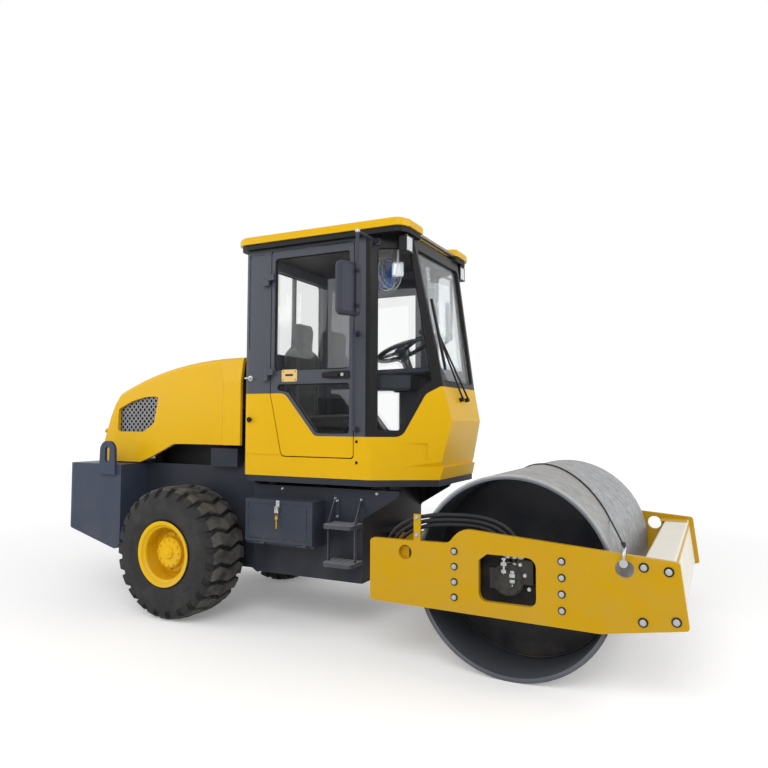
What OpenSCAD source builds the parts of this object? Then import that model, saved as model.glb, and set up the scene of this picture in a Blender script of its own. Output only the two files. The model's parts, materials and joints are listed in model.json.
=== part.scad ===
// Single-drum road roller with an articulated frame and a closed cab.
// All stations are millimetres forward of the rear axle, heights are above the ground.

/* [Layout] */
// Rear axle to drum axis
wheelbase = 2732; // [2700:1:2800]
// Rear axle to the steering pivot
pivot_x = 1620; // [1610:1:1635]
// Height of the steering joint's middle
hitch_z = 580; // [570:1:590]

/* [Drum] */
// Drum diameter
drum_d = 1225; // [1190:1:1240]
// Drum width
drum_w = 1770; // [1700:1:1800]
// Thickness of the drum shell
drum_wall = 28; // [20:1:35]
// Depth from the drum's edge to its end disc
disc_inset = 390; // [300:1:420]
// Thickness of each end disc
disc_t = 20; // [14:1:30]
// Radius of the stub shaft that carries each disc
drum_shaft_r = 80; // [70:1:95]

/* [Wheels] */
// Tyre diameter over the lugs
tyre_d = 1022; // [1000:1:1040]
// Tyre width
tyre_w = 410; // [390:1:420]
// Distance between the middles of the tyres
track = 1460; // [1440:1:1480]
// Gap between a tyre and the frame rail beside it
tyre_clear = 65; // [55:1:70]
// Bead seat diameter of the rim
rim_d = 458; // [440:1:470]
// Height of the rim flange above the bead seat
rim_lip = 23; // [15:1:28]
// Number of lugs round a tyre
lug_count = 24; // [20:2:24]
// Depth of the grooves between the lugs
lug_depth = 30; // [20:1:34]
// Radius of the axle spindle in the hub
spindle_r = 70; // [60:1:78]

/* [Front frame] */
// Thickness of the side plates
plate_t = 36; // [30:1:45]
// Gap between the drum's end and a side plate
side_gap = 50; // [46:1:60]
// Reach of the side plates ahead of the drum axis
plate_front = 980; // [950:1:1010]
// Reach of the side plates behind the drum axis
plate_rear = 902; // [880:1:915]
// Rise of the side plates above the drum axis
plate_rise = 287; // [260:1:300]
// Depth of the side plates below the drum axis
plate_drop = 234; // [215:1:245]
// Radius of the front lifting hole
lift_hole_r = 50; // [40:1:55]
// Radius of the rear tie-down hole
tie_hole_r = 45; // [35:1:48]
// Thickness of the rear crossbeam
rear_beam_t = 58; // [45:1:62]
// Depth of the front crossbeam along the machine
front_beam_t = 165; // [140:1:180]

/* [Rear frame] */
// Width over the side skins
frame_w = 1080; // [1060:1:1100]
// Thickness of the side skins
skin_t = 25; // [16:1:30]
// Thickness of the inner rails
rail_t = 30; // [24:1:34]
// Height of the frame's underside
frame_floor = 371; // [355:1:390]
// Height of the deck under the cab
deck_z = 1045; // [1035:1:1055]
// Station of the frame's front wall
frame_front = 1540; // [1525:1:1550]
// Radius of the steering pin
pin_r = 45; // [40:1:48]

/* [Counterweight] */
// Counterweight width
cw_w = 1520; // [1480:1:1560]
// Reach of the counterweight behind the rear axle
cw_rear = 1280; // [1250:1:1310]
// Reach of its front face behind the rear axle
cw_front = 645; // [630:1:660]
// Height of its top face
cw_top = 1170; // [1160:1:1174]
// Thickness of the lifting eyes
eye_t = 26; // [20:1:32]

/* [Bonnet] */
// Bonnet width
hood_w = 1120; // [1100:1:1130]
// Thickness of the bonnet shell
hood_t = 28; // [22:1:34]
// Station of the bonnet's front edge
hood_front = 462; // [455:1:466]
// Height of the bonnet at its front edge
hood_top = 2052; // [2040:1:2065]
// Height of the bonnet where its tail begins
tail_z = 1756; // [1740:1:1770]
// Height of the bonnet's rear sill
hood_sill = 1181; // [1178:1:1190]
// Diameter of the holes in the side grilles
grille_hole = 25; // [18:1:27]
// Distance between the middles of those holes
grille_pitch = 36; // [32:1:44]
// Height of the bonnet's lower edge over the wheels
hood_arch = 1346; // [1335:1:1360]

/* [Cab] */
// Cab width
cab_w = 1240; // [1220:1:1260]
// Thickness of the cab walls
cab_t = 50; // [44:1:56]
// Station of the cab's rear wall
cab_rear = 520; // [516:1:530]
// Station where the cab's sides begin to taper
taper_x = 1640; // [1625:1:1655]
// Width of the cab at the nose
nose_w = 610; // [580:1:640]
// Height of the cab panels' lower edge
cab_sill = 1124; // [1118:1:1130]
// Height of the cab frame's top
cab_top = 2880; // [2860:1:2900]
// Thickness of the cab floor
floor_t = 47; // [42:1:52]
// Height of the waist line behind the door
waist_z = 1752; // [1740:1:1765]
// Height of the lower window's bottom edge
belt_z = 1430; // [1420:1:1440]
// Thickness of the glass
glass_t = 6; // [4:1:8]

/* [Door] */
// Station of the door's rear edge
door_rear = 776; // [772:1:782]
// Station of the door's front edge
door_front = 1502; // [1498:1:1506]
// Height of the door's lower edge
door_low = 1278; // [1270:1:1290]
// Gap between the door's upper edge and the cab's top
door_head = 26; // [23:1:40]
// Thickness of the door leaf
door_t = 42; // [36:1:46]
// Gap round the door
door_gap = 8; // [7:1:10]

/* [Roof] */
// Roof width
roof_w = 1374; // [1350:1:1400]
// Station of the roof's rear edge
roof_rear = 470; // [460:1:480]
// Station of the roof's front edge
roof_front = 1943; // [1930:1:1955]
// Height of the roof's rim
roof_rim = 66; // [55:1:75]
// Thickness of the roof liner
liner_t = 40; // [32:1:48]
// Width of the notch in the roof's front edge
notch_w = 720; // [680:1:760]

/* [Access] */
// Station of the toolbox's front end
toolbox_front = 1227; // [1210:1:1228]
// Height of the toolbox
toolbox_h = 334; // [320:1:345]
// Depth of the toolbox
toolbox_d = 160; // [150:1:170]
// Thickness of the toolbox walls
toolbox_t = 15; // [10:1:18]
// Thickness of the toolbox door
toolbox_door_t = 18; // [14:1:20]
// Width of the step treads
step_w = 240; // [220:1:245]
// Depth of the step treads
step_d = 178; // [160:1:185]
// Thickness of the step treads
tread_t = 28; // [22:1:32]
// Length of the slots in the treads
slot_len = 46; // [36:1:50]
// Width of the slots in the treads
slot_w = 13; // [10:1:16]

/* [Steering cylinders] */
// Distance of the cylinders from the middle line
cyl_y = 250; // [245:1:255]
// Radius of the barrels
barrel_r = 45; // [40:1:48]
// Radius of the rods
rod_r = 25; // [20:1:28]

/* [Hidden] */
$fn = 64;
run_gap = 0.05;
fit_gap = 0.2;
cut = 20;
drum_r = drum_d / 2;
drum_z = drum_r;
plate_in = drum_w / 2 + side_gap;
plate_out = plate_in + plate_t;
plate_front_x = wheelbase + plate_front;
plate_rear_x = wheelbase - plate_rear;
axle_z = tyre_d / 2;
mid_x = (plate_front_x - cw_rear) / 2;
cab_hw = cab_w / 2;
nose_x = 2160;
taper = atan2(cab_hw - nose_w / 2, nose_x - taper_x);
roof_z = cab_top + liner_t;
door_high = cab_top - door_head;
rail_y = track / 2 - tyre_w / 2 - tyre_clear - rail_t;
skin_y = max(frame_w / 2, rail_y + rail_t + skin_t);
cyl_back_x = pivot_x - 340;
cyl_front_x = pivot_x + 240;
hood_hinge = [440, 1990];
door_hinge = [door_rear - 21, -cab_hw - 25];
eye_slot = [52, 130];

slate = [0.27, 0.29, 0.34];
yellow = [0.87, 0.68, 0.03];
mustard = [0.77, 0.60, 0.04];
black = [0.05, 0.05, 0.06];
steel = [0.60, 0.61, 0.62];
cream = [0.91, 0.89, 0.84];
rubber = [0.16, 0.16, 0.17];
pane = [0.55, 0.68, 0.74, 0.4];

// Outlines with rounded corners: each corner is [x, y, radius], or [x, y] where it is sharp

function unit(v) = v / norm(v);
function flat(p) = [p.x, p.y];
function turn(a) = a > 180 ? a - 360 : a < -180 ? a + 360 : a;
function corner(a, b, c, steps) =
    let (r = len(b) > 2 ? b.z : 0)
    r == 0 ? [flat(b)] :
    let (
        u = unit(flat(a) - flat(b)),
        v = unit(flat(c) - flat(b)),
        half = acos(u * v) / 2,
        middle = flat(b) + unit(u + v) * r / sin(half),
        from = flat(b) + u * r / tan(half) - middle,
        to = flat(b) + v * r / tan(half) - middle,
        start = atan2(from.y, from.x),
        sweep = turn(atan2(to.y, to.x) - start)
    )
    [for (k = [0:steps]) middle + r * [cos(start + sweep * k / steps), sin(start + sweep * k / steps)]];
function rounded(p, steps = 5) =
    [for (i = [0:len(p) - 1])
        each corner(p[(i + len(p) - 1) % len(p)], p[i], p[(i + 1) % len(p)], steps)];
function grown(p, ways, grow) = rounded([for (i = [0:len(p) - 1]) [each flat(p[i]) + grow * ways[i], p[i].z]]);
function curve(a, b, c, steps) =
    [for (k = [0:steps]) let (t = k / steps) (1 - t) * (1 - t) * a + 2 * t * (1 - t) * b + t * t * c];
function mirrored(p) = concat(p, [for (i = [len(p) - 1:-1:0]) [-p[i].x, p[i].y, len(p[i]) > 2 ? p[i].z : 0]]);

module at_origin() translate([-mid_x, 0, 0]) children();

// A sheet whose outline is seen from the side
module side_sheet(p, y0, y1) translate([0, y1, 0]) rotate([90, 0, 0]) linear_extrude(y1 - y0) polygon(p);

// A sheet whose outline is seen from the front
module cross_sheet(p, x0, x1) translate([x0, 0, 0]) rotate([90, 0, 90]) linear_extrude(x1 - x0) polygon(p);

// A sheet whose outline is seen from above
module plan_sheet(p, z0, z1) translate([0, 0, z0]) linear_extrude(z1 - z0) polygon(p);

module block(low, high) translate(low) cube(high - low);

module both_sides() {
    children();
    mirror([0, 1, 0]) children();
}

// A round bar from one point to another
module bar(a, b, r) {
    d = b - a;
    translate(a) rotate([0, acos(d.z / norm(d)), atan2(d.y, d.x)]) cylinder(r = r, h = norm(d));
}

// A cylinder across the machine
module across(x, z, r, y0, y1) translate([x, y1, z]) rotate([90, 0, 0]) cylinder(r = r, h = y1 - y0);

// An upright cylinder
module upright(x, y, r, z0, z1) translate([x, y, z0]) cylinder(r = r, h = z1 - z0);

// Rear frame

hitch_gap = 10;
yoke_h = 200;
hitch_plate_t = 40;
wall_t = 25;
deck_t = 12;
gusset_x = 1830;
gusset_low = 830;
hitch_half = [250, 95];
cyl_pin_r = 18;
skin_rear = tyre_d / 2 + 64;
axle_pad_z = axle_z + 139;
cyl_beam = [cyl_back_x - 50, cyl_back_x + 50];
cyl_beam_top = hitch_z - barrel_r - 10;

function rail_outline() = rounded([
    [-cw_front, axle_pad_z - 50], [-160, axle_pad_z, 60], [160, axle_pad_z, 60], [340, frame_floor, 40],
    [frame_front, frame_floor], [frame_front, deck_z], [bulkhead_x[1], deck_z, 25], [bulkhead_x[1], cw_top],
    [-cw_front, cw_top]
]);
function skin_outline() = rounded([
    [skin_rear, frame_floor, 40], [frame_front, frame_floor], [frame_front, gusset_low, 40],
    [gusset_x - 25, deck_z - 55, 30], [gusset_x, deck_z - deck_t], [gusset_x, deck_z], [skin_rear, deck_z]
]);

module hitch_plate(z0) {
    plan_sheet([[frame_front - wall_t, -hitch_half[0]], [frame_front, -hitch_half[0]],
        [pivot_x, -hitch_half[1]], [pivot_x, hitch_half[1]], [frame_front, hitch_half[0]],
        [frame_front - wall_t, hitch_half[0]]], z0, z0 + hitch_plate_t);
    upright(pivot_x, 0, hitch_half[1], z0, z0 + hitch_plate_t);
}

module rear_frame() color(slate) at_origin() {
    difference() {
        union() {
            both_sides() {
                side_sheet(rail_outline(), rail_y, rail_y + rail_t);
                side_sheet(skin_outline(), skin_y - skin_t, skin_y);
                block([skin_rear, rail_y, deck_z - deck_t], [gusset_x, skin_y, deck_z]);
                block([skin_rear, rail_y + rail_t, frame_floor + 60], [skin_rear + wall_t, skin_y, deck_z]);
            }
            block([skin_rear + wall_t, -skin_y, frame_floor], [frame_front, skin_y, frame_floor + 20]);
            block([frame_front - wall_t, -skin_y, frame_floor], [frame_front, skin_y, deck_z]);
            block([cyl_beam[0], -rail_y, cyl_beam_top - 60], [cyl_beam[1], rail_y, cyl_beam_top]);
        }
        both_sides() block([frame_front - wall_t - cut, cyl_y - 115, hitch_z - 60],
            [frame_front + cut, cyl_y + 115, hitch_z + 60]);
    }
    hitch_plate(hitch_z - yoke_h / 2 - hitch_gap - hitch_plate_t);
    hitch_plate(hitch_z + yoke_h / 2 + hitch_gap);
    upright(pivot_x, 0, pin_r, hitch_z - yoke_h / 2 - hitch_gap - hitch_plate_t - 15,
        hitch_z + yoke_h / 2 + hitch_gap + hitch_plate_t + 15);
    both_sides() upright(cyl_back_x, cyl_y, cyl_pin_r, cyl_beam_top, hitch_z + 45);
}

// Counterweight, a solid casting with a sloping underside

cw_low = [617, 458, 520];

module counterweight() color(slate) at_origin() intersection() {
    side_sheet(rounded([[-cw_rear, cw_low[0], 60], [-cw_front - 35, cw_low[1], 50], [-cw_front, cw_low[2]],
        [-cw_front, cw_top], [-cw_rear, cw_top, 25]]), -cw_w / 2, cw_w / 2);
    plan_sheet(rounded([[-cw_rear, -cw_w / 2, 60], [-cw_front, -cw_w / 2], [-cw_front, cw_w / 2],
        [-cw_rear, cw_w / 2, 60]]), 0, cw_top + cut);
}

eye_x = -785;
eye_w = 164;
eye_low = 1085;
eye_top = 1366;
eye_slot_z = 1252;

module eye_outline() difference() {
    polygon(rounded([[eye_x - eye_w / 2 - 12, eye_low], [eye_x + eye_w / 2 + 12, eye_low],
        [eye_x + eye_w / 2, eye_top, eye_w / 2 - 1], [eye_x - eye_w / 2, eye_top, eye_w / 2 - 1]], 8));
    for (z = [-1, 1]) translate([eye_x, eye_slot_z + z * (eye_slot.y - eye_slot.x) / 2]) circle(d = eye_slot.x);
    translate([eye_x - eye_slot.x / 2, eye_slot_z - (eye_slot.y - eye_slot.x) / 2])
        square([eye_slot.x, eye_slot.y - eye_slot.x]);
}

module lifting_eyes() color(slate) at_origin() both_sides()
    translate([0, cw_w / 2 + eye_t, 0]) rotate([90, 0, 0]) linear_extrude(eye_t) eye_outline();

// Rear axle, with the pads that bolt it under the rails and the spindles for the wheels

hub_in = track / 2 - 40;
diff_r = 185;
diff_half = 110;
axle_r = 95;
axle_pad_x = 110;
brake_r = 120;

module rear_axle() color(slate) at_origin() {
    across(0, axle_z, axle_r, -rail_y - 60, rail_y + 60);
    across(0, axle_z, diff_r, -diff_half, diff_half);
    across(0, axle_z, 0.73 * diff_r, -diff_half - 80, diff_half + 80);
    both_sides() {
        block([-axle_pad_x, rail_y - 40, axle_z], [axle_pad_x, rail_y + rail_t, axle_pad_z]);
        across(0, axle_z, brake_r, rail_y + 30, rail_y + 75);
        across(0, axle_z, spindle_r, rail_y, hub_in + 90);
    }
}

// Engine, a plain block on four feet between the rails

engine_half = rail_y - 110;
engine_low = axle_z + diff_r + 29;
engine_x = [-550, 250];
engine_top = 1620;
engine_foot = [90, 80];
foot_x = [-450, 60];
foot_low = 95;

module engine() color(black) at_origin() {
    block([engine_x[0], -engine_half, engine_low], [engine_x[1], engine_half, engine_top]);
    both_sides() for (x = foot_x) block([x, engine_half, engine_low + foot_low],
        [x + engine_foot.x, rail_y, engine_low + foot_low + engine_foot.y]);
}

// Tank on the right rail, beside the engine

bulkhead_x = [hood_front + 24, hood_front + 48];
tank_x = [118, bulkhead_x[0] - 98];
tank_h = 156;

module side_tank() color(slate) at_origin()
    cross_sheet(rounded([[-hood_w / 2 + hood_t + 7, cw_top], [-engine_half - 15, cw_top],
        [-engine_half - 15, cw_top + tank_h, 20], [-hood_w / 2 + hood_t + 7, cw_top + tank_h, 20]]),
        tank_x[0], tank_x[1]);

// Bulkhead between bonnet and cab, with the bonnet's hinge lugs

lug_y = [330, 356];
hinge_r = 12;
pad_h = 40;
bay_half = 300;
bay_z = [1260, 1900];

module bulkhead() color(slate) at_origin() {
    difference() {
        cross_sheet(rounded(mirrored([[hood_w / 2 - 12, cw_top], [hood_w / 2 - 12, hood_hinge.y - 10, 60]])),
            bulkhead_x[0], bulkhead_x[1]);
        block([bulkhead_x[0] - cut, -bay_half, bay_z[0]], [bulkhead_x[1] + cut, bay_half, bay_z[1]]);
    }
    block([bulkhead_x[0], -rail_y - rail_t, cw_top], [bulkhead_x[1], rail_y + rail_t, cw_top + pad_h]);
    both_sides() {
        block([bulkhead_x[0] - 90, rail_y, cw_top], [bulkhead_x[1], rail_y + rail_t, cw_top + pad_h]);
        side_sheet(rounded([[bulkhead_x[0], hood_hinge.y - 75], [bulkhead_x[0], hood_hinge.y - 12],
            [hood_hinge.x + 4, hood_hinge.y + 24, 18], [hood_hinge.x - 24, hood_hinge.y + 24, 20],
            [hood_hinge.x - 24, hood_hinge.y - 24, 20]]), lug_y[0], lug_y[1]);
        across(hood_hinge.x, hood_hinge.y, hinge_r, lug_y[0], lug_y[1] + 40);
    }
}

// Bonnet: one shell lofted through cross sections along the machine

tail_x = -895;
narrow_x = -960;
hood_rear = -1165;
crown_x = -300;
hood_steps = 9;
side_steps = 3;
ridge_r = 36;
arch_x = [-614, -253];
tail_narrow = 30;

// The front of the bonnet flares out towards the cab below its shoulder
flare = 30;
flare_x = [250, 290];
flare_z = 1862;

// Height of the crown line, a curve through the front edge and the tail
function curve_share(a, b, c, x) = let (q = a - 2 * b + c, h = b - a) (-h - sqrt(h * h - q * (a - x))) / q;
function crown(x) = let (t = curve_share(hood_front, crown_x, tail_x, x))
    (1 - t) * (1 - t) * hood_top + 2 * t * (1 - t) * (hood_top + 8) + t * t * (tail_z + 22);
function hood_stations() = concat([hood_front, flare_x[1]],
    [for (k = [0:hood_steps]) flare_x[0] + (tail_x - flare_x[0]) * k / hood_steps]);
function hood_line() = concat(
    [for (x = hood_stations()) [x, crown(x)]],
    [[tail_x - 60, tail_z - 62], tail_foot[0], tail_foot[1], [hood_rear, hood_sill + 16]]);
function hood_low(x) = x > arch_x[1] ? hood_arch :
    x > arch_x[0] ? hood_sill + (hood_arch - hood_sill) * (x - arch_x[0]) / (arch_x[1] - arch_x[0]) : hood_sill;
function hood_half(x) = hood_w / 2 - (x < narrow_x ? tail_narrow * (narrow_x - x) / (narrow_x - hood_rear) : 0);
function hood_side(top, low, half, wide, r) = let (ridge = top - r)
    concat([[half + wide, low], [half + wide, min(flare_z, ridge - 0.2 * (ridge - low))]],
        [for (k = [0:side_steps]) let (a = 90 * k / side_steps) [half - r + r * cos(a), ridge + r * sin(a)]]);
function hood_ring(x, top, low, half, wide, r) = let (side = hood_side(top, low, half, wide, r)) concat(
    [for (p = side) [x, -p.x, p.y]],
    [for (i = [len(side) - 1:-1:0]) [x, side[i].x, side[i].y]]);

// A solid through rings that all have the same number of points
module loft(rings) {
    n = len(rings[0]);
    m = len(rings);
    polyhedron(
        points = [for (ring = rings) each ring],
        faces = concat(
            [[for (k = [0:n - 1]) k]],
            [for (i = [0:m - 2], k = [0:n - 1]) [i * n + k, (i + 1) * n + k, (i + 1) * n + (k + 1) % n]],
            [for (i = [0:m - 2], k = [0:n - 1]) [i * n + k, (i + 1) * n + (k + 1) % n, i * n + (k + 1) % n]],
            [[for (k = [n - 1:-1:0]) (m - 1) * n + k]]),
        convexity = 4);
}

module hood_outer() loft([for (p = hood_line())
    let (low = hood_low(p.x), top = max(p.y, low + 12))
    hood_ring(p.x, top, low, hood_half(p.x), p.x > flare_x[0] ? flare : 0, min(ridge_r, top - low - 6))]);
module hood_inner() loft([for (p = hood_line())
    let (x = p.x == hood_front ? p.x + cut : p.x + hood_t, low = hood_low(p.x) - 60,
        top = max(p.y - hood_t, low + 14), wide = p.x > flare_x[0] ? flare : 0)
    hood_ring(x, top, low, hood_half(p.x) - hood_t, wide, min(ridge_r / 2, top - low - 6))]);

grille_corners = [
    [-914, 1441, 30], [-607, 1441, 30], [-487, 1516, 40], [-438, 1746, 25], [-583, 1745, 200],
    [-742, 1711, 300], [-910, 1640, 40]
];
grille_ways = [[-1, -1], [0.5, -1], [1, -0.5], [1, 1], [0, 1], [0, 1], [-1, 1]];
function grille_outline(grow) = grown(grille_corners, grille_ways, grow);

tail_foot = [[-1010, 1600], [-1085, 1420]];
tail_lean = atan2(tail_foot[0].y - tail_foot[1].y, tail_foot[0].x - tail_foot[1].x);
knob_y = 500;
knob_r = 19;
knob_stem = 26;
knob_head = 18;

// A pull knob that stands square to the sloping tail
module hood_knob() translate([tail_foot[1].x + 5, knob_y, tail_foot[1].y + 11]) rotate([0, -tail_lean, 0]) {
    cylinder(r = knob_r * 0.6, h = knob_stem);
    translate([0, 0, knob_stem]) cylinder(r = knob_r, h = knob_head);
}

module hood() color(yellow) at_origin() {
    difference() {
        hood_outer();
        hood_inner();
        both_sides() side_sheet(grille_outline(0), hood_w / 2 - hood_t - cut, hood_w / 2 + cut);
    }
    both_sides() hood_knob();
    both_sides() difference() {
        side_sheet(rounded([[hood_hinge.x - 24, hood_hinge.y - 22, 18],
            [hood_hinge.x + 22, hood_hinge.y - 22, 18], [hood_hinge.x + 22, hood_top - hood_t + 4],
            [hood_hinge.x - 90, hood_top - hood_t + 4]]), lug_y[1] + 8, lug_y[1] + 30);
        across(hood_hinge.x, hood_hinge.y, hinge_r + 0.4, lug_y[1], lug_y[1] + 50);
    }
}

grille_t = 6;
grille_lap = 8;
grille_box = [[-930, 1430], [-430, 1750]];

// Holes in staggered rows, as far as the bonnet's opening shows them
module grille_holes() intersection() {
    polygon(grille_outline(-2));
    for (i = [0:floor((grille_box[1].x - grille_box[0].x) / grille_pitch * sqrt(2))],
        j = [0:floor((grille_box[1].y - grille_box[0].y) / grille_pitch * sqrt(2))])
        if ((i + j) % 2 == 0) translate(grille_box[0] + [i, j] * grille_pitch / sqrt(2))
            circle(d = grille_hole, $fn = 24);
}

module hood_grilles() color(steel) at_origin() both_sides()
    translate([0, hood_w / 2 - hood_t, 0]) rotate([90, 0, 0]) linear_extrude(grille_t) difference() {
        polygon(grille_outline(grille_lap));
        grille_holes();
    }

// Cab shell

windscreen_foot = [2092, 1798];
windscreen_head = 1905;
nose_tip = [2150, 1545];
nose_sill = 93;
nose_foot = [2070, 2095];
ledge = 20;
window_head = cab_top - 82;

function cab_plan(inset) = rounded([
    [cab_rear + inset, -cab_hw + inset, 40], [taper_x - inset * tan(taper / 2), -cab_hw + inset, 60],
    [nose_x, -nose_w / 2 + inset / cos(taper)], [nose_x, nose_w / 2 - inset / cos(taper)],
    [taper_x - inset * tan(taper / 2), cab_hw - inset, 60], [cab_rear + inset, cab_hw - inset, 40]
]);
function cab_profile(inset, spare) = [
    [cab_rear + inset, cab_sill - spare], [nose_foot[0] - inset, cab_sill - spare],
    [nose_foot[0] - inset, cab_sill], [nose_foot[1] - inset, cab_sill + nose_sill - 4],
    [nose_foot[1] - ledge - inset, cab_sill + nose_sill],
    [nose_tip.x - inset, nose_tip.y], [windscreen_foot.x - inset, windscreen_foot.y],
    [windscreen_head - inset, cab_top], [windscreen_head - inset, cab_top + spare],
    [cab_rear + inset, cab_top + spare]
];
belt_x = [905, 1175, 1837];
belt_nose = [[1985, 1740, 80], [2075, 1795]];
far = 100;
function belt_line() = rounded([
    [cab_rear - far, waist_z], [belt_x[0], waist_z, 90], [belt_x[1], belt_z, 60], [belt_x[2], belt_z, 70],
    belt_nose[0], belt_nose[1], [nose_x + far, belt_nose[1].y]
]);
function below_belt() = concat(belt_line(), [[nose_x + far, cab_sill - cut], [cab_rear - far, cab_sill - cut]]);
function above_belt() = concat(belt_line(), [[nose_x + far, cab_top + cut], [cab_rear - far, cab_top + cut]]);

module cab_block(inset, spare) intersection() {
    plan_sheet(cab_plan(inset), cab_sill - spare, cab_top + spare);
    side_sheet(cab_profile(inset, spare), -cab_hw - cut, cab_hw + cut);
}

module cab_shell() difference() {
    cab_block(0, 0);
    cab_block(cab_t, cut);
    side_sheet(door_outline(door_gap), -cab_hw - cut, -cab_hw + cab_t + cut);
}

door_foot = 884;

function door_outline(grow) = rounded([
    [door_rear - grow, door_high + grow, 25], [door_front + grow, door_high + grow, 25],
    [door_front + grow, door_low - grow, 25], [door_foot - grow, door_low - grow, 40],
    [door_rear - grow, waist_z - 6, 60]
]);
upper_corners = [[806, window_head, 25], [1470, window_head, 25], [1470, 1925, 25], [806, 1925, 25]];
lower_corners = [
    [838, 1822, 25], [1470, 1822, 25], [1470, belt_z + 20, 25], [1190, belt_z + 20, 50], [935, 1760, 40],
    [838, 1775, 15]
];
rear_corners = mirrored([[470, 2095, 40], [470, window_head, 40]]);
front_corners = mirrored([[318, 1835, 40], [425, window_head, 40]]);
quarter_corners = [
    [48, 1472, 25], [215, 1468, 40], [322, 1660, 60], [392, 1800, 30], [452, 1832, 25], [292, window_head, 30],
    [48, window_head, 30]
];
pair_ways = [[1, -1], [1, 1], [-1, 1], [-1, -1]];
quarter_ways = [[-1, -1], [0.5, -1], [1, -1], [1, -1], [1, -1], [1, 1], [-1, 1]];
function upper_window(grow) = grown(upper_corners, [[-1, 1], [1, 1], [1, -1], [-1, -1]], grow);
function lower_window(grow) =
    grown(lower_corners, [[-1, 1], [1, 1], [1, -1], [-0.5, -1], [-1, -0.5], [-1, -1]], grow);
function rear_window(grow) = grown(rear_corners, pair_ways, grow);
function front_window(grow) = grown(front_corners, pair_ways, grow);
function quarter_window(grow) = grown(quarter_corners, quarter_ways, grow);

// The frame of a tapered cab side: stations run along it, depth runs inwards
module on_taper() translate([taper_x, -cab_hw, 0]) rotate([0, 0, taper]) children();

// Pressings in the lower panels: a crease behind the door, a fading pocket and a ledge on each tapered side

crease = [5, 4];
pocket = [[205, 424], [cab_sill + 134, cab_sill + 260]];
pocket_d = 9;
ledge_from = 235;
ledge_len = 420;
ledge_lean = 20;

module pressings() both_sides() {
    block([cab_rear + 30, -cab_hw - cut, door_low + 3],
        [door_foot - 13, -cab_hw + crease.y, door_low + 3 + crease.x]);
    on_taper() {
        plan_sheet([[pocket[0][0], -cut], [pocket[0][1], -cut], [pocket[0][1] - pocket_d, pocket_d],
            [pocket[0][0], 0]], pocket[1][0], pocket[1][1]);
        translate([ledge_from, 0, cab_sill + nose_sill]) rotate([0, 0, atan2(ledge, ledge_len)])
            cross_sheet([[-far, 0], [0, 0], [-far, far / tan(ledge_lean)]], 0, ledge_len);
    }
}

module cab_panels() color(yellow) at_origin() difference() {
    intersection() {
        cab_shell();
        side_sheet(below_belt(), -cab_hw - cut, cab_hw + cut);
    }
    pressings();
}

recess_d = 6;
function pillar_recess() = rounded([
    [cab_rear + 40, waist_z + 353, 12], [door_rear - 72, waist_z + 353, 12], [door_rear - 72, cab_top - 34, 12],
    [cab_rear + 40, cab_top - 34, 12]
]);
hinge_z = [waist_z + 99, door_high - 268];
knuckle_r = 15;
door_pin_r = 8;

module cab_frame() color(slate) at_origin() {
    difference() {
        intersection() {
            cab_shell();
            side_sheet(above_belt(), -cab_hw - cut, cab_hw + cut);
        }
        side_sheet(upper_window(0), cab_hw - cab_t - cut, cab_hw + cut);
        side_sheet(lower_window(0), cab_hw - cab_t - cut, cab_hw + cut);
        cross_sheet(rear_window(0), cab_rear - cut, cab_rear + cab_t + cut);
        cross_sheet(front_window(0), windscreen_head - 2.2 * cab_t, nose_x);
        both_sides() on_taper() side_sheet(quarter_window(0), -cut, cab_t + cut);
        both_sides() side_sheet(pillar_recess(), -cab_hw - cut, -cab_hw + recess_d);
    }
    for (z = hinge_z) {
        block([door_hinge.x - 42, door_hinge.y - knuckle_r + 4, z], [door_hinge.x - 4, -cab_hw, z + 40]);
        upright(door_hinge.x, door_hinge.y, knuckle_r, z, z + 40);
        upright(door_hinge.x, door_hinge.y, door_pin_r, z, z + 92);
    }
}

screen_in = 18;
glass_in = 15;

module windscreen() color(pane) at_origin() intersection() {
    cross_sheet(front_window(-fit_gap), windscreen_head - 2.2 * cab_t, nose_x);
    difference() {
        side_sheet(cab_profile(screen_in, 0), -cab_hw, cab_hw);
        side_sheet(cab_profile(screen_in + glass_t, cut), -cab_hw - cut, cab_hw + cut);
    }
}

module quarter_glass() color(pane) at_origin() both_sides()
    on_taper() side_sheet(quarter_window(-fit_gap), glass_in, glass_in + glass_t);

module left_glass() color(pane) at_origin() {
    side_sheet(upper_window(-fit_gap), cab_hw - glass_in - glass_t, cab_hw - glass_in);
    side_sheet(lower_window(-fit_gap), cab_hw - glass_in - glass_t, cab_hw - glass_in);
}

module rear_glass() color(pane) at_origin()
    cross_sheet(rear_window(-fit_gap), cab_rear + glass_in, cab_rear + glass_in + glass_t);

module cab_floor() color(black) at_origin() intersection() {
    plan_sheet(cab_plan(4), cab_sill - floor_t, cab_sill);
    block([cab_rear + 40, -cab_hw, 0], [nose_foot[0] - 4, cab_hw, cab_top]);
}

mount_r = 42;
mount_x = [720, 1690];

module cab_mounts() color(rubber) at_origin() for (x = mount_x) both_sides()
    upright(x, (rail_y + skin_y) / 2, mount_r, deck_z, cab_sill - floor_t);

// Roof

// Rounded edge of the cap: inset and drop below the crown
roof_edge = [[0, 30], [3, 19], [10, 10], [22, 4], [60, 0]];

function roof_plan(inset) = let (f = roof_front - inset, w = roof_w / 2 - inset, n = notch_w / 2 + inset)
    rounded([
        [roof_rear + inset, -w, 90], [f - 40, -w, 60], [f, -w + 90, 40], [f, -n, 20], [f - 82, -n + 30, 20],
        [f - 82, n - 30, 20], [f, n, 20], [f, w - 90, 40], [f - 40, w, 60], [roof_rear + inset, w, 90]
    ]);

notch_bar_r = 7;

function roof_ring(inset, z) = [for (p = roof_plan(inset)) [p.x, p.y, z]];

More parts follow.
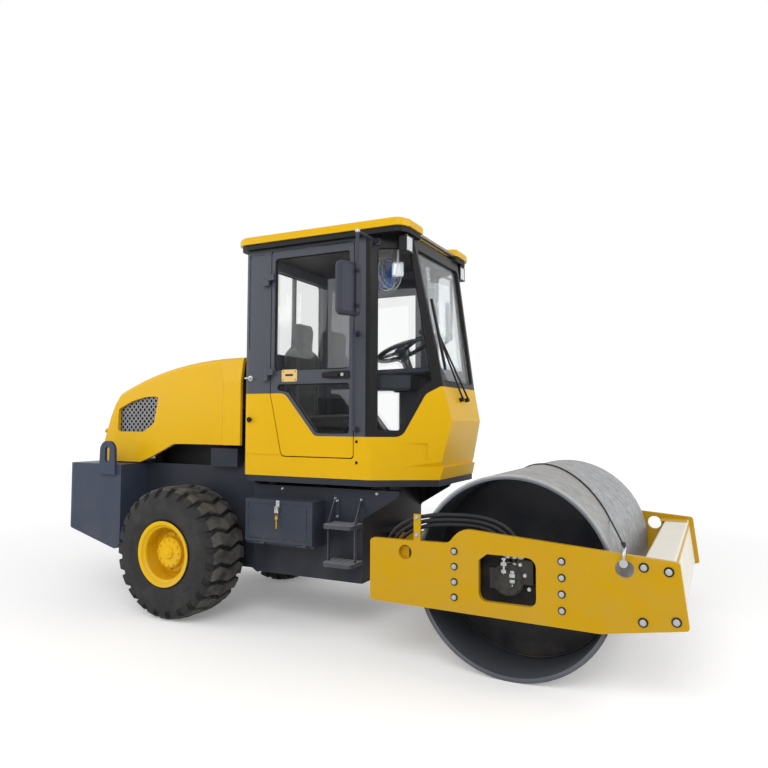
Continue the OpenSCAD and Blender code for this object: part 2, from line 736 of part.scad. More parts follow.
module roof_cap() color(yellow) at_origin() loft(concat(
    [roof_ring(0, roof_z)],
    [for (e = roof_edge) roof_ring(e[0], roof_z + roof_rim - e[1])]));

module roof_liner() color(black) at_origin() {
    plan_sheet(roof_plan(14), cab_top, roof_z);
    bar([roof_front - 30, -notch_w / 2 - 40, roof_z - 12],
        [roof_front - 30, notch_w / 2 + 40, roof_z - 12], notch_bar_r);
}

// Cab interior

seat_z = 1490;
seat_rear = 715;
seat_gap = 0.3;
seat_half = [210, 190, 245];
plinth_x = [800, 1160];
plinth_h = 60;
pedestal = [[830, cab_sill + plinth_h], [1130, cab_sill + plinth_h], [1190, seat_z, 20], [760, seat_z, 20]];
cushion_side = [
    [seat_rear, seat_z + seat_gap], [1215, seat_z + seat_gap, 20], [1225, 1600, 45], [seat_rear, 1580, 30]
];
back_front = [[225, 1500, 40], [245, 2120, 90], [135, 2190, 40], [120, 2390, 60]];
back_x = [603, seat_rear - seat_gap];

module seat_base() color(black) at_origin() {
    block([plinth_x[0], -seat_half[0], cab_sill], [plinth_x[1], seat_half[0], cab_sill + plinth_h]);
    side_sheet(rounded(pedestal), -seat_half[1], seat_half[1]);
}

module seat_cushion() color(rubber) at_origin() side_sheet(rounded(cushion_side), -seat_half[2], seat_half[2]);

module seat_back() color(rubber) at_origin() cross_sheet(rounded(mirrored(back_front)), back_x[0], back_x[1]);

column_foot = [1690, 0, 1885];
column_head = [1612, 0, 2085];

column_r = 36;
dash = [[1640, 1760, 30], [1610, 1900, 30], [1900, 1925, 40], [1935, 1760, 30]];
dash_leg = [[1730, cab_sill], [1910, cab_sill], [1910, 1770], [1700, 1770]];
dash_half = [240, 150];

module console() color(black) at_origin() {
    side_sheet(rounded(dash), -dash_half[0], dash_half[0]);
    side_sheet(rounded(dash_leg), -dash_half[1], dash_half[1]);
    bar(column_foot, column_head, column_r);
}

wheel_r = 200;
wheel_tube = 14;
wheel_hub_r = 48;
spoke_w = 28;

module steering_wheel() color(black) at_origin() {
    axis = column_head - column_foot;
    translate(column_head) rotate([0, atan2(axis.x, axis.z), 0]) {
        translate([0, 0, 20]) rotate_extrude() translate([wheel_r, 0]) circle(r = wheel_tube);
        cylinder(r = wheel_hub_r, h = 32);
        for (a = [90, 210, 330]) rotate([0, 0, a])
            translate([30, -spoke_w / 2, 10]) cube([wheel_r - 38, spoke_w, spoke_w / 2]);
    }
}

mirror_at = [1632, -925, cab_top - 435];
mirror_size = [200, 372];
mirror_turn = -26;
mirror_arm_z = cab_top - 42;
mirror_tube = 12;
mirror_side = 45;
mirror_round = 42;

// Rounded back of the shell: distance forward of its middle and inset of the outline
mirror_edge = [[-22, 8], [-14, 0], [6, 0], [18, 10], [26, 30]];

function mirror_ring(x, inset) = [for (p = rounded(mirrored([
    [mirror_size.x / 2 - inset, -mirror_size.y / 2 + inset, mirror_round - inset],
    [mirror_size.x / 2 - inset, mirror_size.y / 2 - inset, mirror_round - inset]]))) [x, p.x, p.y]];

module mirrors() color(black) at_origin() both_sides() {
    reach = mirror_edge[4][0] + mirror_tube - 1;
    arm = mirror_at + [reach * cos(mirror_turn) - mirror_side * sin(mirror_turn),
        reach * sin(mirror_turn) + mirror_side * cos(mirror_turn), 0];
    foot = (arm.x - taper_x) / cos(taper);
    face = -cab_hw + (arm.x - taper_x) * tan(taper);
    translate(mirror_at) rotate([0, 0, mirror_turn]) loft([for (e = mirror_edge) mirror_ring(e[0], e[1])]);
    bar([arm.x, arm.y, mirror_at.z - mirror_size.y / 2 + 20], [arm.x, arm.y, mirror_arm_z], mirror_tube);
    translate([arm.x, arm.y, mirror_arm_z]) sphere(r = mirror_tube + 3);
    bar([arm.x, face - 14, mirror_arm_z], [arm.x, arm.y, mirror_arm_z], mirror_tube);
    on_taper() across(foot, mirror_arm_z, 26, -16, 0);
}

arm_pivot = [-52, 70];
arm_z = 1705;

// A point in front of the windscreen: share of its height, distance aside and distance off the glass
function on_screen(share, y, off) = [
    windscreen_foot.x + (windscreen_head - windscreen_foot.x) * share + off, y,
    windscreen_foot.y + (cab_top - windscreen_foot.y) * share];
arm_tip = on_screen(0.34, -338, 30);
blade = [on_screen(0.11, -312, 24), on_screen(0.59, -366, 24)];
nose_lean = atan2(nose_tip.x - windscreen_foot.x, windscreen_foot.y - nose_tip.y);
function nose_face(z) = windscreen_foot.x + (windscreen_foot.y - z) * tan(nose_lean);

module wiper() color(black) at_origin() {
    for (y = arm_pivot) {
        foot = [nose_face(arm_z), y, arm_z];
        translate(foot) rotate([0, 90 - nose_lean, 0]) cylinder(r = 16, h = 30);
        bar(foot + [24, 0, 6], arm_tip + [0, y / 8, 0], 7);
    }
    bar(blade[0], blade[1], 9);
}

lamp_size = [58, 112, 118];
lamp_at = [1862, -610];
lamp_drop = 14;
lamp_rim = 8;
lens_d = 7;

module work_lamps() color(black) at_origin() both_sides() {
    low = [lamp_at.x, lamp_at.y, cab_top - lamp_drop - lamp_size.z];
    difference() {
        cross_sheet(rounded([[low.y, low.z, 10], [low.y + lamp_size.y, low.z, 10],
            [low.y + lamp_size.y, low.z + lamp_size.z, 10], [low.y, low.z + lamp_size.z, 10]]),
            low.x, low.x + lamp_size.x);
        block(low + [lamp_size.x - lens_d, lamp_rim, lamp_rim],
            low + lamp_size + [cut, -lamp_rim, -lamp_rim]);
    }
    block([low.x + 14, low.y + 36, cab_top - lamp_drop], [low.x + 42, low.y + 76, cab_top]);
}

rail_x = 1536;
rail_stand = 60;
rail_r = 12;
rail_z = [1480, 2172];

module grab_rail() color(black) at_origin() {
    y = -cab_hw - rail_stand;
    bar([rail_x, y, rail_z[0]], [rail_x, y, rail_z[1]], rail_r);
    for (z = rail_z) {
        translate([rail_x, y, z]) sphere(r = rail_r + 2);
        across(rail_x, z, rail_r, y, -cab_hw);
        across(rail_x, z, rail_r + 10, -cab_hw - 8, -cab_hw);
    }
}

// Steps and toolbox on the right side skin

step_x = 1306;
step_z = [536, 804];
bar_t = 6;
bar_top = [950, 995];
bar_out = [80, 110];
slot_rows = 4;

module tread_outline() difference() {
    polygon(rounded([[step_x, -skin_y], [step_x + step_w, -skin_y], [step_x + step_w, -skin_y - step_d, 30],
        [step_x, -skin_y - step_d, 30]]));
    for (i = [0:slot_rows - 1], j = [0:slot_rows - 1]) translate([step_x, -skin_y])
        translate([step_w * (i + 0.75), -step_d * (j + 0.75)] / (slot_rows + 0.5)) rotate([0, 0, 35]) {
            square([slot_len - slot_w, slot_w], center = true);
            for (s = [-1, 1]) translate([s * (slot_len - slot_w) / 2, 0]) circle(d = slot_w, $fn = 16);
        }
}

module steps() color(steel) at_origin() {
    for (z = step_z) translate([0, 0, z - tread_t]) linear_extrude(tread_t) tread_outline();
    for (x = [step_x + 8, step_x + step_w - 8 - bar_t])
        cross_sheet([[-skin_y, bar_top[0]], [-skin_y, bar_top[1]], [-skin_y - bar_out[1], step_z[1] + 8],
            [-skin_y - bar_out[1], step_z[0] - 14], [-skin_y - bar_out[0], step_z[0] - 14],
            [-skin_y - bar_out[0], step_z[1] - 10]], x, x + bar_t);
}

toolbox_x = skin_rear + 55;
toolbox_w = toolbox_front - toolbox_x;
toolbox_z = 621;
toolbox_face = -skin_y - toolbox_d;
lid_axis = [toolbox_face - 11, toolbox_z + 7];

module toolbox() color(slate) at_origin() {
    difference() {
        block([toolbox_x, toolbox_face, toolbox_z], [toolbox_x + toolbox_w, -skin_y, toolbox_z + toolbox_h]);
        block([toolbox_x + toolbox_t, toolbox_face - cut, toolbox_z + toolbox_t],
            [toolbox_x + toolbox_w - toolbox_t, -skin_y - toolbox_t, toolbox_z + toolbox_h - toolbox_t]);
    }
    for (x = [toolbox_x + 90, toolbox_x + toolbox_w - 130]) {
        block([x, lid_axis.x, lid_axis.y - 7], [x + 40, toolbox_face, lid_axis.y + 4]);
        translate([x, lid_axis.x, lid_axis.y]) rotate([0, 90, 0]) cylinder(r = 7, h = 40);
        translate([x, lid_axis.x, lid_axis.y]) rotate([0, 90, 0]) cylinder(r = 4, h = 84);
    }
}

function lid_frame(inset) = rounded([
    [toolbox_x + 24 + inset, toolbox_z + 42 + inset, 8],
    [toolbox_front - 46 - inset, toolbox_z + 42 + inset, 8],
    [toolbox_front - 46 - inset, toolbox_z + toolbox_h - 30 - inset, 8],
    [toolbox_x + 24 + inset, toolbox_z + toolbox_h - 30 - inset, 8]
]);

module toolbox_door() color(slate) at_origin() {
    lid_back = toolbox_face - 2;
    difference() {
        block([toolbox_x, lid_back - toolbox_door_t, toolbox_z + 19],
            [toolbox_x + toolbox_w, lid_back, toolbox_z + toolbox_h]);
        translate([0, lid_back - toolbox_door_t + crease.y, 0]) rotate([90, 0, 0]) linear_extrude(cut)
            difference() {
                polygon(lid_frame(0));
                polygon(lid_frame(crease.x));
            }
    }
    for (x = [toolbox_x + 132, toolbox_x + toolbox_w - 88]) difference() {
        union() {
            translate([x, lid_axis.x, lid_axis.y]) rotate([0, 90, 0]) cylinder(r = 8, h = 40);
            block([x, lid_axis.x - 6, lid_axis.y], [x + 40, lid_axis.x + 6, toolbox_z + 24]);
        }
        translate([x - cut, lid_axis.x, lid_axis.y]) rotate([0, 90, 0])
            cylinder(r = 4 + run_gap, h = 40 + 2 * cut);
    }
}

module toolbox_latch() color(steel) at_origin() {
    face = toolbox_face - 2 - toolbox_door_t;
    x = toolbox_x + toolbox_w / 2;
    block([x - 15, face - 6, toolbox_z + toolbox_h - 60], [x + 15, face, toolbox_z + toolbox_h - 2]);
    block([x - 17, face - 24, toolbox_z + toolbox_h - 92], [x + 17, face - 6, toolbox_z + toolbox_h - 52]);
}

// Door

module door_leaf() side_sheet(door_outline(0), -cab_hw, -cab_hw + door_t);

module door_frame() color(slate) at_origin() {
    difference() {
        intersection() {
            door_leaf();
            side_sheet(above_belt(), -cab_hw - cut, cab_hw);
        }
        side_sheet(upper_window(0), -cab_hw - cut, -cab_hw + door_t + cut);
        side_sheet(lower_window(0), -cab_hw - cut, -cab_hw + door_t + cut);
    }
    for (z = hinge_z) difference() {
        union() {
            upright(door_hinge.x, door_hinge.y, knuckle_r, z + 42, z + 88);
            block([door_hinge.x, door_hinge.y - knuckle_r + 4, z + 42],
                [door_rear + 40, -cab_hw - 5, z + 88]);
            block([door_rear + 4, -cab_hw - 6, z + 42], [door_rear + 40, -cab_hw, z + 88]);
        }
        upright(door_hinge.x, door_hinge.y, door_pin_r + run_gap, z, z + 130);
    }
}

module door_panel() color(yellow) at_origin() intersection() {
    door_leaf();
    side_sheet(below_belt(), -cab_hw - cut, cab_hw);
}

module door_glass() color(pane) at_origin() {
    side_sheet(upper_window(-fit_gap), -cab_hw + glass_in, -cab_hw + glass_in + glass_t);
    side_sheet(lower_window(-fit_gap), -cab_hw + glass_in, -cab_hw + glass_in + glass_t);
}

handle_x = [1240, 1472];
handle_z = 1881;

module door_handle() color(black) at_origin() {
    side_sheet(rounded([[handle_x[0], handle_z - 17, 14], [handle_x[0] + 90, handle_z - 28, 20],
        [handle_x[1], handle_z - 30, 12], [handle_x[1], handle_z + 30, 12],
        [handle_x[0] + 90, handle_z + 28, 20], [handle_x[0], handle_z + 17, 14]]), -cab_hw - 9, -cab_hw);
    side_sheet(rounded([[handle_x[0] + 12, handle_z - 9, 8], [handle_x[1] - 84, handle_z - 13, 8],
        [handle_x[1] - 84, handle_z + 13, 8], [handle_x[0] + 12, handle_z + 9, 8]]),
        -cab_hw - 24, -cab_hw - 9);
}

// Front frame

window_x = [wheelbase - 171, wheelbase + 175];
window_z = [drum_z - 138, drum_z + 143];
lift_hole = [wheelbase + 660, drum_z + 132];
tie_hole = [wheelbase - 654, drum_z + 108];
buffer_x = [wheelbase - 325, wheelbase + 321];
buffer_z = [for (k = [0:3]) drum_z + 142 - 92 * k];
post_x = wheelbase - 572;
post_w = 46;
post_h = 168;

function plate_outline() = rounded([
    [plate_rear_x, drum_z - plate_drop + 20, 20], [plate_rear_x, drum_z + 180, 25],
    [wheelbase - 365, drum_z + 186, 60], [wheelbase - 285, drum_z + plate_rise - 5, 120],
    [plate_front_x - 42, drum_z + plate_rise - 97, 22], [plate_front_x, drum_z - 158, 16],
    [wheelbase + 527, drum_z - plate_drop]
]);

module side_plates() color(mustard) at_origin() both_sides() {
    difference() {
        side_sheet(plate_outline(), -plate_out, -plate_in);
        side_sheet(rounded([[window_x[0], window_z[0], 50], [window_x[1], window_z[0], 45],
            [window_x[1], window_z[1], 55], [window_x[0] + 52, window_z[1], 8],
            [window_x[0], window_z[1] - 40, 8]]), -plate_out - cut, -plate_in + cut);
        across(lift_hole.x, lift_hole.y, lift_hole_r, -plate_out - cut, -plate_in + cut);
        across(tie_hole.x, tie_hole.y, tie_hole_r, -plate_out - cut, -plate_in + cut);
    }
    block([post_x - post_w / 2, -plate_out, drum_z + 182 - 20],
        [post_x + post_w / 2, -plate_out + 12, drum_z + 182 + post_h]);
}

module front_beam() color(cream) at_origin()
    side_sheet(rounded([[plate_front_x - 60 - front_beam_t, drum_z - 160, 15],
        [plate_front_x - 30, drum_z - 160, 15], [plate_front_x - 72, drum_z + 172, 15],
        [plate_front_x - 72 - front_beam_t, drum_z + 172, 15]]), -plate_in, plate_in);

beam_back = wheelbase - drum_r - 30 - rear_beam_t;
yoke_half = 70;
yoke_root = 330;
tab_top = hitch_z - 48;

module rear_beam() color(mustard) at_origin() {
    difference() {
        union() {
            block([beam_back, -plate_in, drum_z - 206], [beam_back + rear_beam_t, plate_in, drum_z + 138]);
            plan_sheet([[pivot_x, -yoke_half], [beam_back - 130, -yoke_half], [beam_back, -yoke_root],
                [beam_back, yoke_root], [beam_back - 130, yoke_half], [pivot_x, yoke_half]],
                hitch_z - yoke_h / 2, hitch_z + yoke_h / 2);
            upright(pivot_x, 0, yoke_half, hitch_z - yoke_h / 2, hitch_z + yoke_h / 2);
            both_sides() {
                block([hose_start(0).x - 25, hose_y - 18, hose_start(0).y - 60],
                    [beam_back + 5, hose_y + 18, hose_start(0).y]);
                upright(cyl_front_x, cyl_y, 75, tab_top - 30, tab_top);
                block([cyl_front_x, cyl_y - 75, tab_top - 30], [beam_back + 5, cyl_y + 75, tab_top]);
            }
        }
        upright(pivot_x, 0, pin_r + run_gap, 0, cab_sill);
        both_sides() block([cyl_front_x - 120, yoke_half + 6, tab_top],
            [beam_back - 20, cyl_y + 120, cab_sill]);
    }
}

// Drum mounts: a carrier plate on rubber buffers, with a hub tube and motor, one set in each end of the drum

hose_count = 3;
hose_r = 13;
hose_y = -plate_in + 23;
hose_steps = 9;
hose_sides = 10;
carrier_t = 24;
carrier_y = plate_in - 96;
disc_y = drum_w / 2 - disc_inset;

module drum_mounts() color(black) at_origin() both_sides() {
    for (x = buffer_x, z = buffer_z) across(x, z, 34, -plate_in, -carrier_y);
    side_sheet(rounded([[buffer_x[0] - 45, buffer_z[3] - 45, 30], [buffer_x[1] + 45, buffer_z[3] - 45, 30],
        [buffer_x[1] + 45, buffer_z[0] + 45, 30], [buffer_x[0] - 45, buffer_z[0] + 45, 30]]),
        -carrier_y, -carrier_y + carrier_t);
}

module drum_hubs() color(black) at_origin() both_sides() {
    across(wheelbase, drum_z, 150, -carrier_y + carrier_t, -disc_y - 60);
    across(wheelbase, drum_z, drum_shaft_r, -disc_y - 60, -disc_y + disc_t);
    across(wheelbase, drum_z, 95, -plate_in - 6, -carrier_y);
    for (k = [0:hose_count - 1]) upright(hose_end(k).x, hose_y, hose_r + 3, drum_z + 40, hose_end(k).y);
}

function hose_start(k) = [wheelbase - 807 + 40 * k, drum_z + 88];
function hose_end(k) = [wheelbase + 73 - 42 * k, drum_z + 128];
function hose_apex(k) = [wheelbase - 272, drum_z + 356 - 30 * k];
function hose_path(k) = let (a = hose_start(k), b = hose_apex(k), c = hose_end(k)) concat(
    curve(a, [a.x, b.y], b, hose_steps),
    [for (i = [1:hose_steps]) curve(b, [c.x, b.y], c, hose_steps)[i]]);
function along(path, i) =
    i == 0 ? [0, 1] : i == len(path) - 1 ? [0, -1] : unit(path[i + 1] - path[i - 1]);

// A tube that follows a path in an upright plane
module tube(path, y, r) loft([for (i = [0:len(path) - 1]) let (t = along(path, i))
    [for (k = [0:hose_sides - 1]) let (a = 360 * k / hose_sides)
        [path[i].x - r * cos(a) * t.y, y - r * sin(a), path[i].y + r * cos(a) * t.x]]]);

module hoses() color(rubber) at_origin() both_sides() for (k = [0:hose_count - 1])
    tube(hose_path(k), hose_y, hose_r);

shackle_pin_r = 14;
shackle_r = 10;
shackle_half = 40;
shackle_legs = 32;

module shackle() color(steel) at_origin() {
    y = -(plate_in + plate_out) / 2;
    pin_z = lift_hole.y + lift_hole_r - shackle_pin_r - 0.3;
    across(lift_hole.x, pin_z, shackle_pin_r, -plate_out - 40, -plate_in + 40);
    across(lift_hole.x, pin_z, 22, -plate_out - 40, -plate_out - 28);
    translate([lift_hole.x, y, pin_z]) {
        for (s = [-1, 1]) translate([0, s * shackle_half, 0]) cylinder(r = shackle_r, h = shackle_legs);
        translate([0, 0, shackle_legs]) rotate([90, 0, 90]) rotate_extrude(angle = 180)
            translate([shackle_half, 0]) circle(r = shackle_r);
    }
}

// Drum

module drum_shell() color(steel) at_origin() difference() {
    across(wheelbase, drum_z, drum_r, -drum_w / 2, drum_w / 2);
    across(wheelbase, drum_z, drum_r - drum_wall, -drum_w / 2 - cut, drum_w / 2 + cut);
}

module drum_discs() color(black) at_origin() both_sides() difference() {
    union() {
        across(wheelbase, drum_z, drum_r - drum_wall, -disc_y, -disc_y + disc_t);
        across(wheelbase, drum_z, 180, -disc_y - 40, -disc_y);
    }
    across(wheelbase, drum_z, drum_shaft_r + run_gap, -disc_y - 60, -disc_y + disc_t + cut);
}

// Road wheels: profiles of radius and distance outwards from the tyre's middle

lug_pitch = 360 / lug_count;
lug_share = 0.68;
lug_wall = 0.06;
lug_sweep = 0.15;

// The lugs' corners stand off the true circle, so that a lug's flat rests on the ground
crown_r = tyre_d / 2 / cos((lug_share / 2 - lug_sweep) * lug_pitch);

// Half of the section: radius, distance aside, groove depth inwards and aside, share of the pitch, sweep
function tyre_half() = let (h = tyre_w / 2, b = rim_d / 2 + fit_gap, s = crown_r - b) [
    [b, h - 40, 0, 0, 0, 0],
    [b + 0.14 * s, h - 12, 0, 0, 0, 0],
    [b + 0.40 * s, h, 0, 0, 0, 0],
    [b + 0.70 * s, h - 5, 0, 0, 0, 0],
    [b + 0.86 * s, h - 12, lug_depth * 0.4, lug_depth * 0.8, 0.54, 0],
    [b + 0.96 * s, h - 42, lug_depth * 0.9, lug_depth * 0.3, 0.60, 0],
    [crown_r, h - 100, lug_depth, 0, lug_share, lug_sweep]
];
tyre_middle = [crown_r, 0, lug_depth, 0, lug_share, -lug_sweep];

function tyre_section() = let (half = tyre_half(), n = len(half)) concat(
    [for (p = half) [p[0], -p[1], p[2], p[3], p[4], p[5]]], [tyre_middle],
    [for (i = [n - 1:-1:0]) [half[i][0], half[i][1], half[i][2], -half[i][3], half[i][4], half[i][5]]]);

// Four places in a pitch: both ends of a lug's top and both ends of the groove's floor
function lug_place(share, k) = share == 0 ? k / 4 - 0.125 :
    [-share / 2, share / 2, share / 2 + lug_wall, 1 - share / 2 - lug_wall][k];
function tyre_point(p, a) = let (
    k = a % 4, deep = k > 1 ? 1 : 0, r = p[0] - deep * p[2],
    turn = -90 + lug_pitch * (floor(a / 4) + p[5] + lug_place(p[4], k)))
    [r * cos(turn), r * sin(turn), p[1] + deep * p[3]];

module tyre() {
    section = tyre_section();
    m = len(section);
    n = 4 * lug_count;
    polyhedron(
        points = [for (a = [0:n - 1], p = section) tyre_point(p, a)],
        faces = [for (a = [0:n - 1], j = [0:m - 1]) let (b = (a + 1) % n, i = (j + 1) % m)
            each [[a * m + j, a * m + i, b * m + i], [a * m + j, b * m + i, b * m + j]]],
        convexity = 6);
}

disc_z = [-22, 40];
hub_r = [118, 160];
hub_z = [80, 130];

module rim() {
    b = rim_d / 2;
    h = tyre_w / 2;
    rotate_extrude() polygon([[b - 14, -h + 16], [b + rim_lip, -h + 4], [b + rim_lip, -h + 10], [b, -h + 30],
        [b, h - 30], [b + rim_lip, h - 10], [b + rim_lip, h - 4], [b - 4, h - 8], [b - 14, h - 22],
        [b - 28, h - 34], [b - 28, h - 60], [b - 16, h - 72], [b - 14, disc_z[1]],
        [hub_r[1] + 16, disc_z[1] + 10], [hub_r[1], disc_z[1] + 22], [hub_r[1], disc_z[0]],
        [b - 14, disc_z[0]]]);
    difference() {
        rotate_extrude() polygon([[0, -40], [hub_r[1], -40], [hub_r[1], hub_z[0] - 10],
            [hub_r[1] - 10, hub_z[0]], [hub_r[0], hub_z[0]], [hub_r[0], hub_z[1] - 8],
            [hub_r[0] - 8, hub_z[1]], [0, hub_z[1]]]);
        translate([0, 0, -60]) cylinder(r = spindle_r + run_gap, h = 112);
    }
}

module right_wheel() translate([0, -track / 2, axle_z]) rotate([90, 0, 0]) children();
module left_wheel() translate([0, track / 2, axle_z]) rotate([-90, 0, 0]) children();

module tyre_right() color(rubber) at_origin() right_wheel() tyre();
module rim_right() color(yellow) at_origin() right_wheel() rim();
module tyre_left() color(rubber) at_origin() left_wheel() tyre();
module rim_left() color(yellow) at_origin() left_wheel() rim();

// Steering cylinders

barrel_len = 365;
rod_back = 200;
eye_r = 38;
eye_h = 70;

module barrel(y) difference() {
    union() {
        translate([cyl_back_x, y, hitch_z]) rotate([0, 90, 0]) cylinder(r = barrel_r, h = barrel_len);
        upright(cyl_back_x, y, eye_r, hitch_z - eye_h / 2, hitch_z + eye_h / 2);
    }
    upright(cyl_back_x, y, cyl_pin_r + run_gap, 0, cab_sill);
    translate([cyl_back_x + 45, y, hitch_z]) rotate([0, 90, 0]) cylinder(r = rod_r + run_gap, h = barrel_len);
}

module cylinder_rod(y) {
    translate([cyl_back_x + rod_back, y, hitch_z]) rotate([0, 90, 0])
        cylinder(r = rod_r, h = cyl_front_x - cyl_back_x - rod_back);
    upright(cyl_front_x, y, eye_r, hitch_z - eye_h / 2, hitch_z + eye_h / 2);
    upright(cyl_front_x, y, cyl_pin_r, tab_top + 1, hitch_z + eye_h / 2 + 8);
}

module barrel_right() color(black) at_origin() barrel(-cyl_y);
module rod_right() color(steel) at_origin() cylinder_rod(-cyl_y);
module barrel_left() color(black) at_origin() barrel(cyl_y);
module rod_left() color(steel) at_origin() cylinder_rod(cyl_y);

rear_frame();
counterweight();
lifting_eyes();
rear_axle();
engine();
side_tank();
bulkhead();
cab_mounts();
cab_floor();
cab_panels();
cab_frame();
windscreen();
quarter_glass();
left_glass();
rear_glass();
roof_cap();
roof_liner();
seat_base();
seat_cushion();
seat_back();
console();
steering_wheel();
wiper();
mirrors();
work_lamps();
grab_rail();
steps();
toolbox();
hood();
hood_grilles();
door_frame();
door_panel();
door_glass();
door_handle();
toolbox_door();
toolbox_latch();
side_plates();
front_beam();
rear_beam();
drum_mounts();
drum_hubs();
hoses();
shackle();
drum_shell();
drum_discs();
tyre_right();
rim_right();
tyre_left();
rim_left();
barrel_right();
rod_right();
barrel_left();
rod_left();
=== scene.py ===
import json
import math

import bmesh
import bpy
from mathutils import Matrix, Vector


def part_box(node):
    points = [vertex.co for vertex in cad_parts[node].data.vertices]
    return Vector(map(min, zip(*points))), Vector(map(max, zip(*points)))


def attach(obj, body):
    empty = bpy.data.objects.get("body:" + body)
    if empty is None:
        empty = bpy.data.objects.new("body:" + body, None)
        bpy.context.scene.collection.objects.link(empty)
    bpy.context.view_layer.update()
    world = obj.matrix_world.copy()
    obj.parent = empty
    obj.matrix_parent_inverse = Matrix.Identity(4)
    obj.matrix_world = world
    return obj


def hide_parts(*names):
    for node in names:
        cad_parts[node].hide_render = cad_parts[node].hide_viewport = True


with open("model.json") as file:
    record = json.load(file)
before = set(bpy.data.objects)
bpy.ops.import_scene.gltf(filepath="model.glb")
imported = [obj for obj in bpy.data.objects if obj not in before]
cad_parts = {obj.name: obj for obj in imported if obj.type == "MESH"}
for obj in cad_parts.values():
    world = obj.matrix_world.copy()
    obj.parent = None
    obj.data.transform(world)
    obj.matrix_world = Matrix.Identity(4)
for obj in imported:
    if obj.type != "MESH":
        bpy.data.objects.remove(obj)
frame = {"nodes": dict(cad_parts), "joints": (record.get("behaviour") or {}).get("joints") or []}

scene = bpy.context.scene
nodes = frame["nodes"]
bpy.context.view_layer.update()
jointAt = {joint["name"]: Vector(joint["pos_m"]) for joint in frame["joints"] if "pos_m" in joint}
axle = jointAt["wheel_right_spin"]
drumAxis = jointAt["drum_spin"]
sides = {"right": -1, "left": 1}
ahead, leftwards, upright = Vector((1, 0, 0)), Vector((0, 1, 0)), Vector((0, 0, 1))
cabSide = 0.62        # half of the cab's width
cabCeiling = 2.879
screenOut = (0.985, 0, 0.171)        # the way the windscreen faces
cornerOut = (0.518, 0.855)        # the way a corner pane faces, ahead and aside
print("frame loaded with", len(nodes), "nodes")


def st(x, y, z):        # a place by its station forward of the rear axle
    return Vector((axle.x + x, y, z))


def addObject(name, data):
    made = bpy.data.objects.new(name, data)
    scene.collection.objects.link(made)
    return made


# Camera

photoView = {
    "at": (3.871, -4.894, 1.552),        # station, side and height of the lens
    "yaw": 26.38,
    "pitch": 3.047,
    "roll": 0.2126,
    "lens": 31.655,
    "sensor": 36.0,
}


def placeCamera(view):
    data = bpy.data.cameras.new("photoCamera")
    data.lens = view["lens"]
    data.sensor_width = view["sensor"]
    data.clip_end = 200
    eye = addObject("photoCamera", data)
    turn = Matrix.Rotation(math.radians(view["yaw"]), 4, "Z")
    lift = Matrix.Rotation(math.radians(90 + view["pitch"]), 4, "X")
    lean = Matrix.Rotation(math.radians(view["roll"]), 4, "Z")
    eye.matrix_world = Matrix.Translation(st(*view["at"])) @ turn @ lift @ lean
    scene.camera = eye


placeCamera(photoView)
print("camera placed")

# Shader tools


def tint(red, green, blue):        # a screen colour as the linear value that a shader takes
    def straight(part):
        part /= 255
        return part / 12.92 if part <= 0.04045 else ((part + 0.055) / 1.055) ** 2.4
    return straight(red), straight(green), straight(blue), 1.0


def put(tree, kind, feeds=None, **settings):        # a node, with values or links on its sockets
    made = tree.nodes.new("ShaderNode" + kind)
    for key, value in settings.items():
        setattr(made, key, value)
    for key, value in (feeds or {}).items():
        if isinstance(value, bpy.types.NodeSocket):
            tree.links.new(value, made.inputs[key])
        else:
            made.inputs[key].default_value = value
    return made


def sums(tree, operation, first, second=0.5, third=0.5, clamp=False):
    return put(tree, "Math", {0: first, 1: second, 2: third}, operation=operation, use_clamp=clamp).outputs[0]


def times(tree, first, second, clamp=False):
    return sums(tree, "MULTIPLY", first, second, clamp=clamp)


def ownPlace(tree):        # where a point lies in the shared frame
    return put(tree, "TexCoord").outputs["Object"]


def placeParts(tree):
    return put(tree, "SeparateXYZ", {0: ownPlace(tree)}).outputs


def facingUp(tree):
    return put(tree, "SeparateXYZ", {0: put(tree, "NewGeometry").outputs["Normal"]}).outputs["Z"]


def noise(tree, place, scale, detail, rough=0.5):
    return put(tree, "TexNoise", {"Vector": place, "Scale": scale, "Detail": detail, "Roughness": rough}).outputs[0]


def bands(tree, place, scale, way):
    return put(tree, "TexWave", {"Vector": place, "Scale": scale}, bands_direction=way).outputs[0]


def greys(tree, value):        # one value as a colour
    return put(tree, "CombineColor", {0: value, 1: value, 2: value}).outputs[0]


def spread(tree, value, low, high, toLow=0.0, toHigh=1.0):        # a value stretched over a new range
    feeds = {"Value": value, "From Min": low, "From Max": high, "To Min": toLow, "To Max": toHigh}
    return put(tree, "MapRange", feeds).outputs[0]


def blendColour(tree, amount, first, second, mode="MIX"):
    made = put(tree, "Mix", {0: amount, 6: first, 7: second}, data_type="RGBA", blend_type=mode)
    return made.outputs[2]


def newGroup(name, inputs, outputs):
    tree = bpy.data.node_groups.new(name, "ShaderNodeTree")
    for label, value in inputs.items():
        tree.interface.new_socket(label, in_out="INPUT", socket_type="NodeSocketFloat").default_value = value
    for label in outputs:
        tree.interface.new_socket(label, in_out="OUTPUT", socket_type="NodeSocketFloat")
    return tree, tree.nodes.new("NodeGroupInput").outputs, tree.nodes.new("NodeGroupOutput").inputs


def useGroup(tree, name, **values):
    made = tree.nodes.new("ShaderNodeGroup")
    made.node_tree = bpy.data.node_groups[name]
    for label, value in values.items():
        made.inputs[label].default_value = value
    return made.outputs


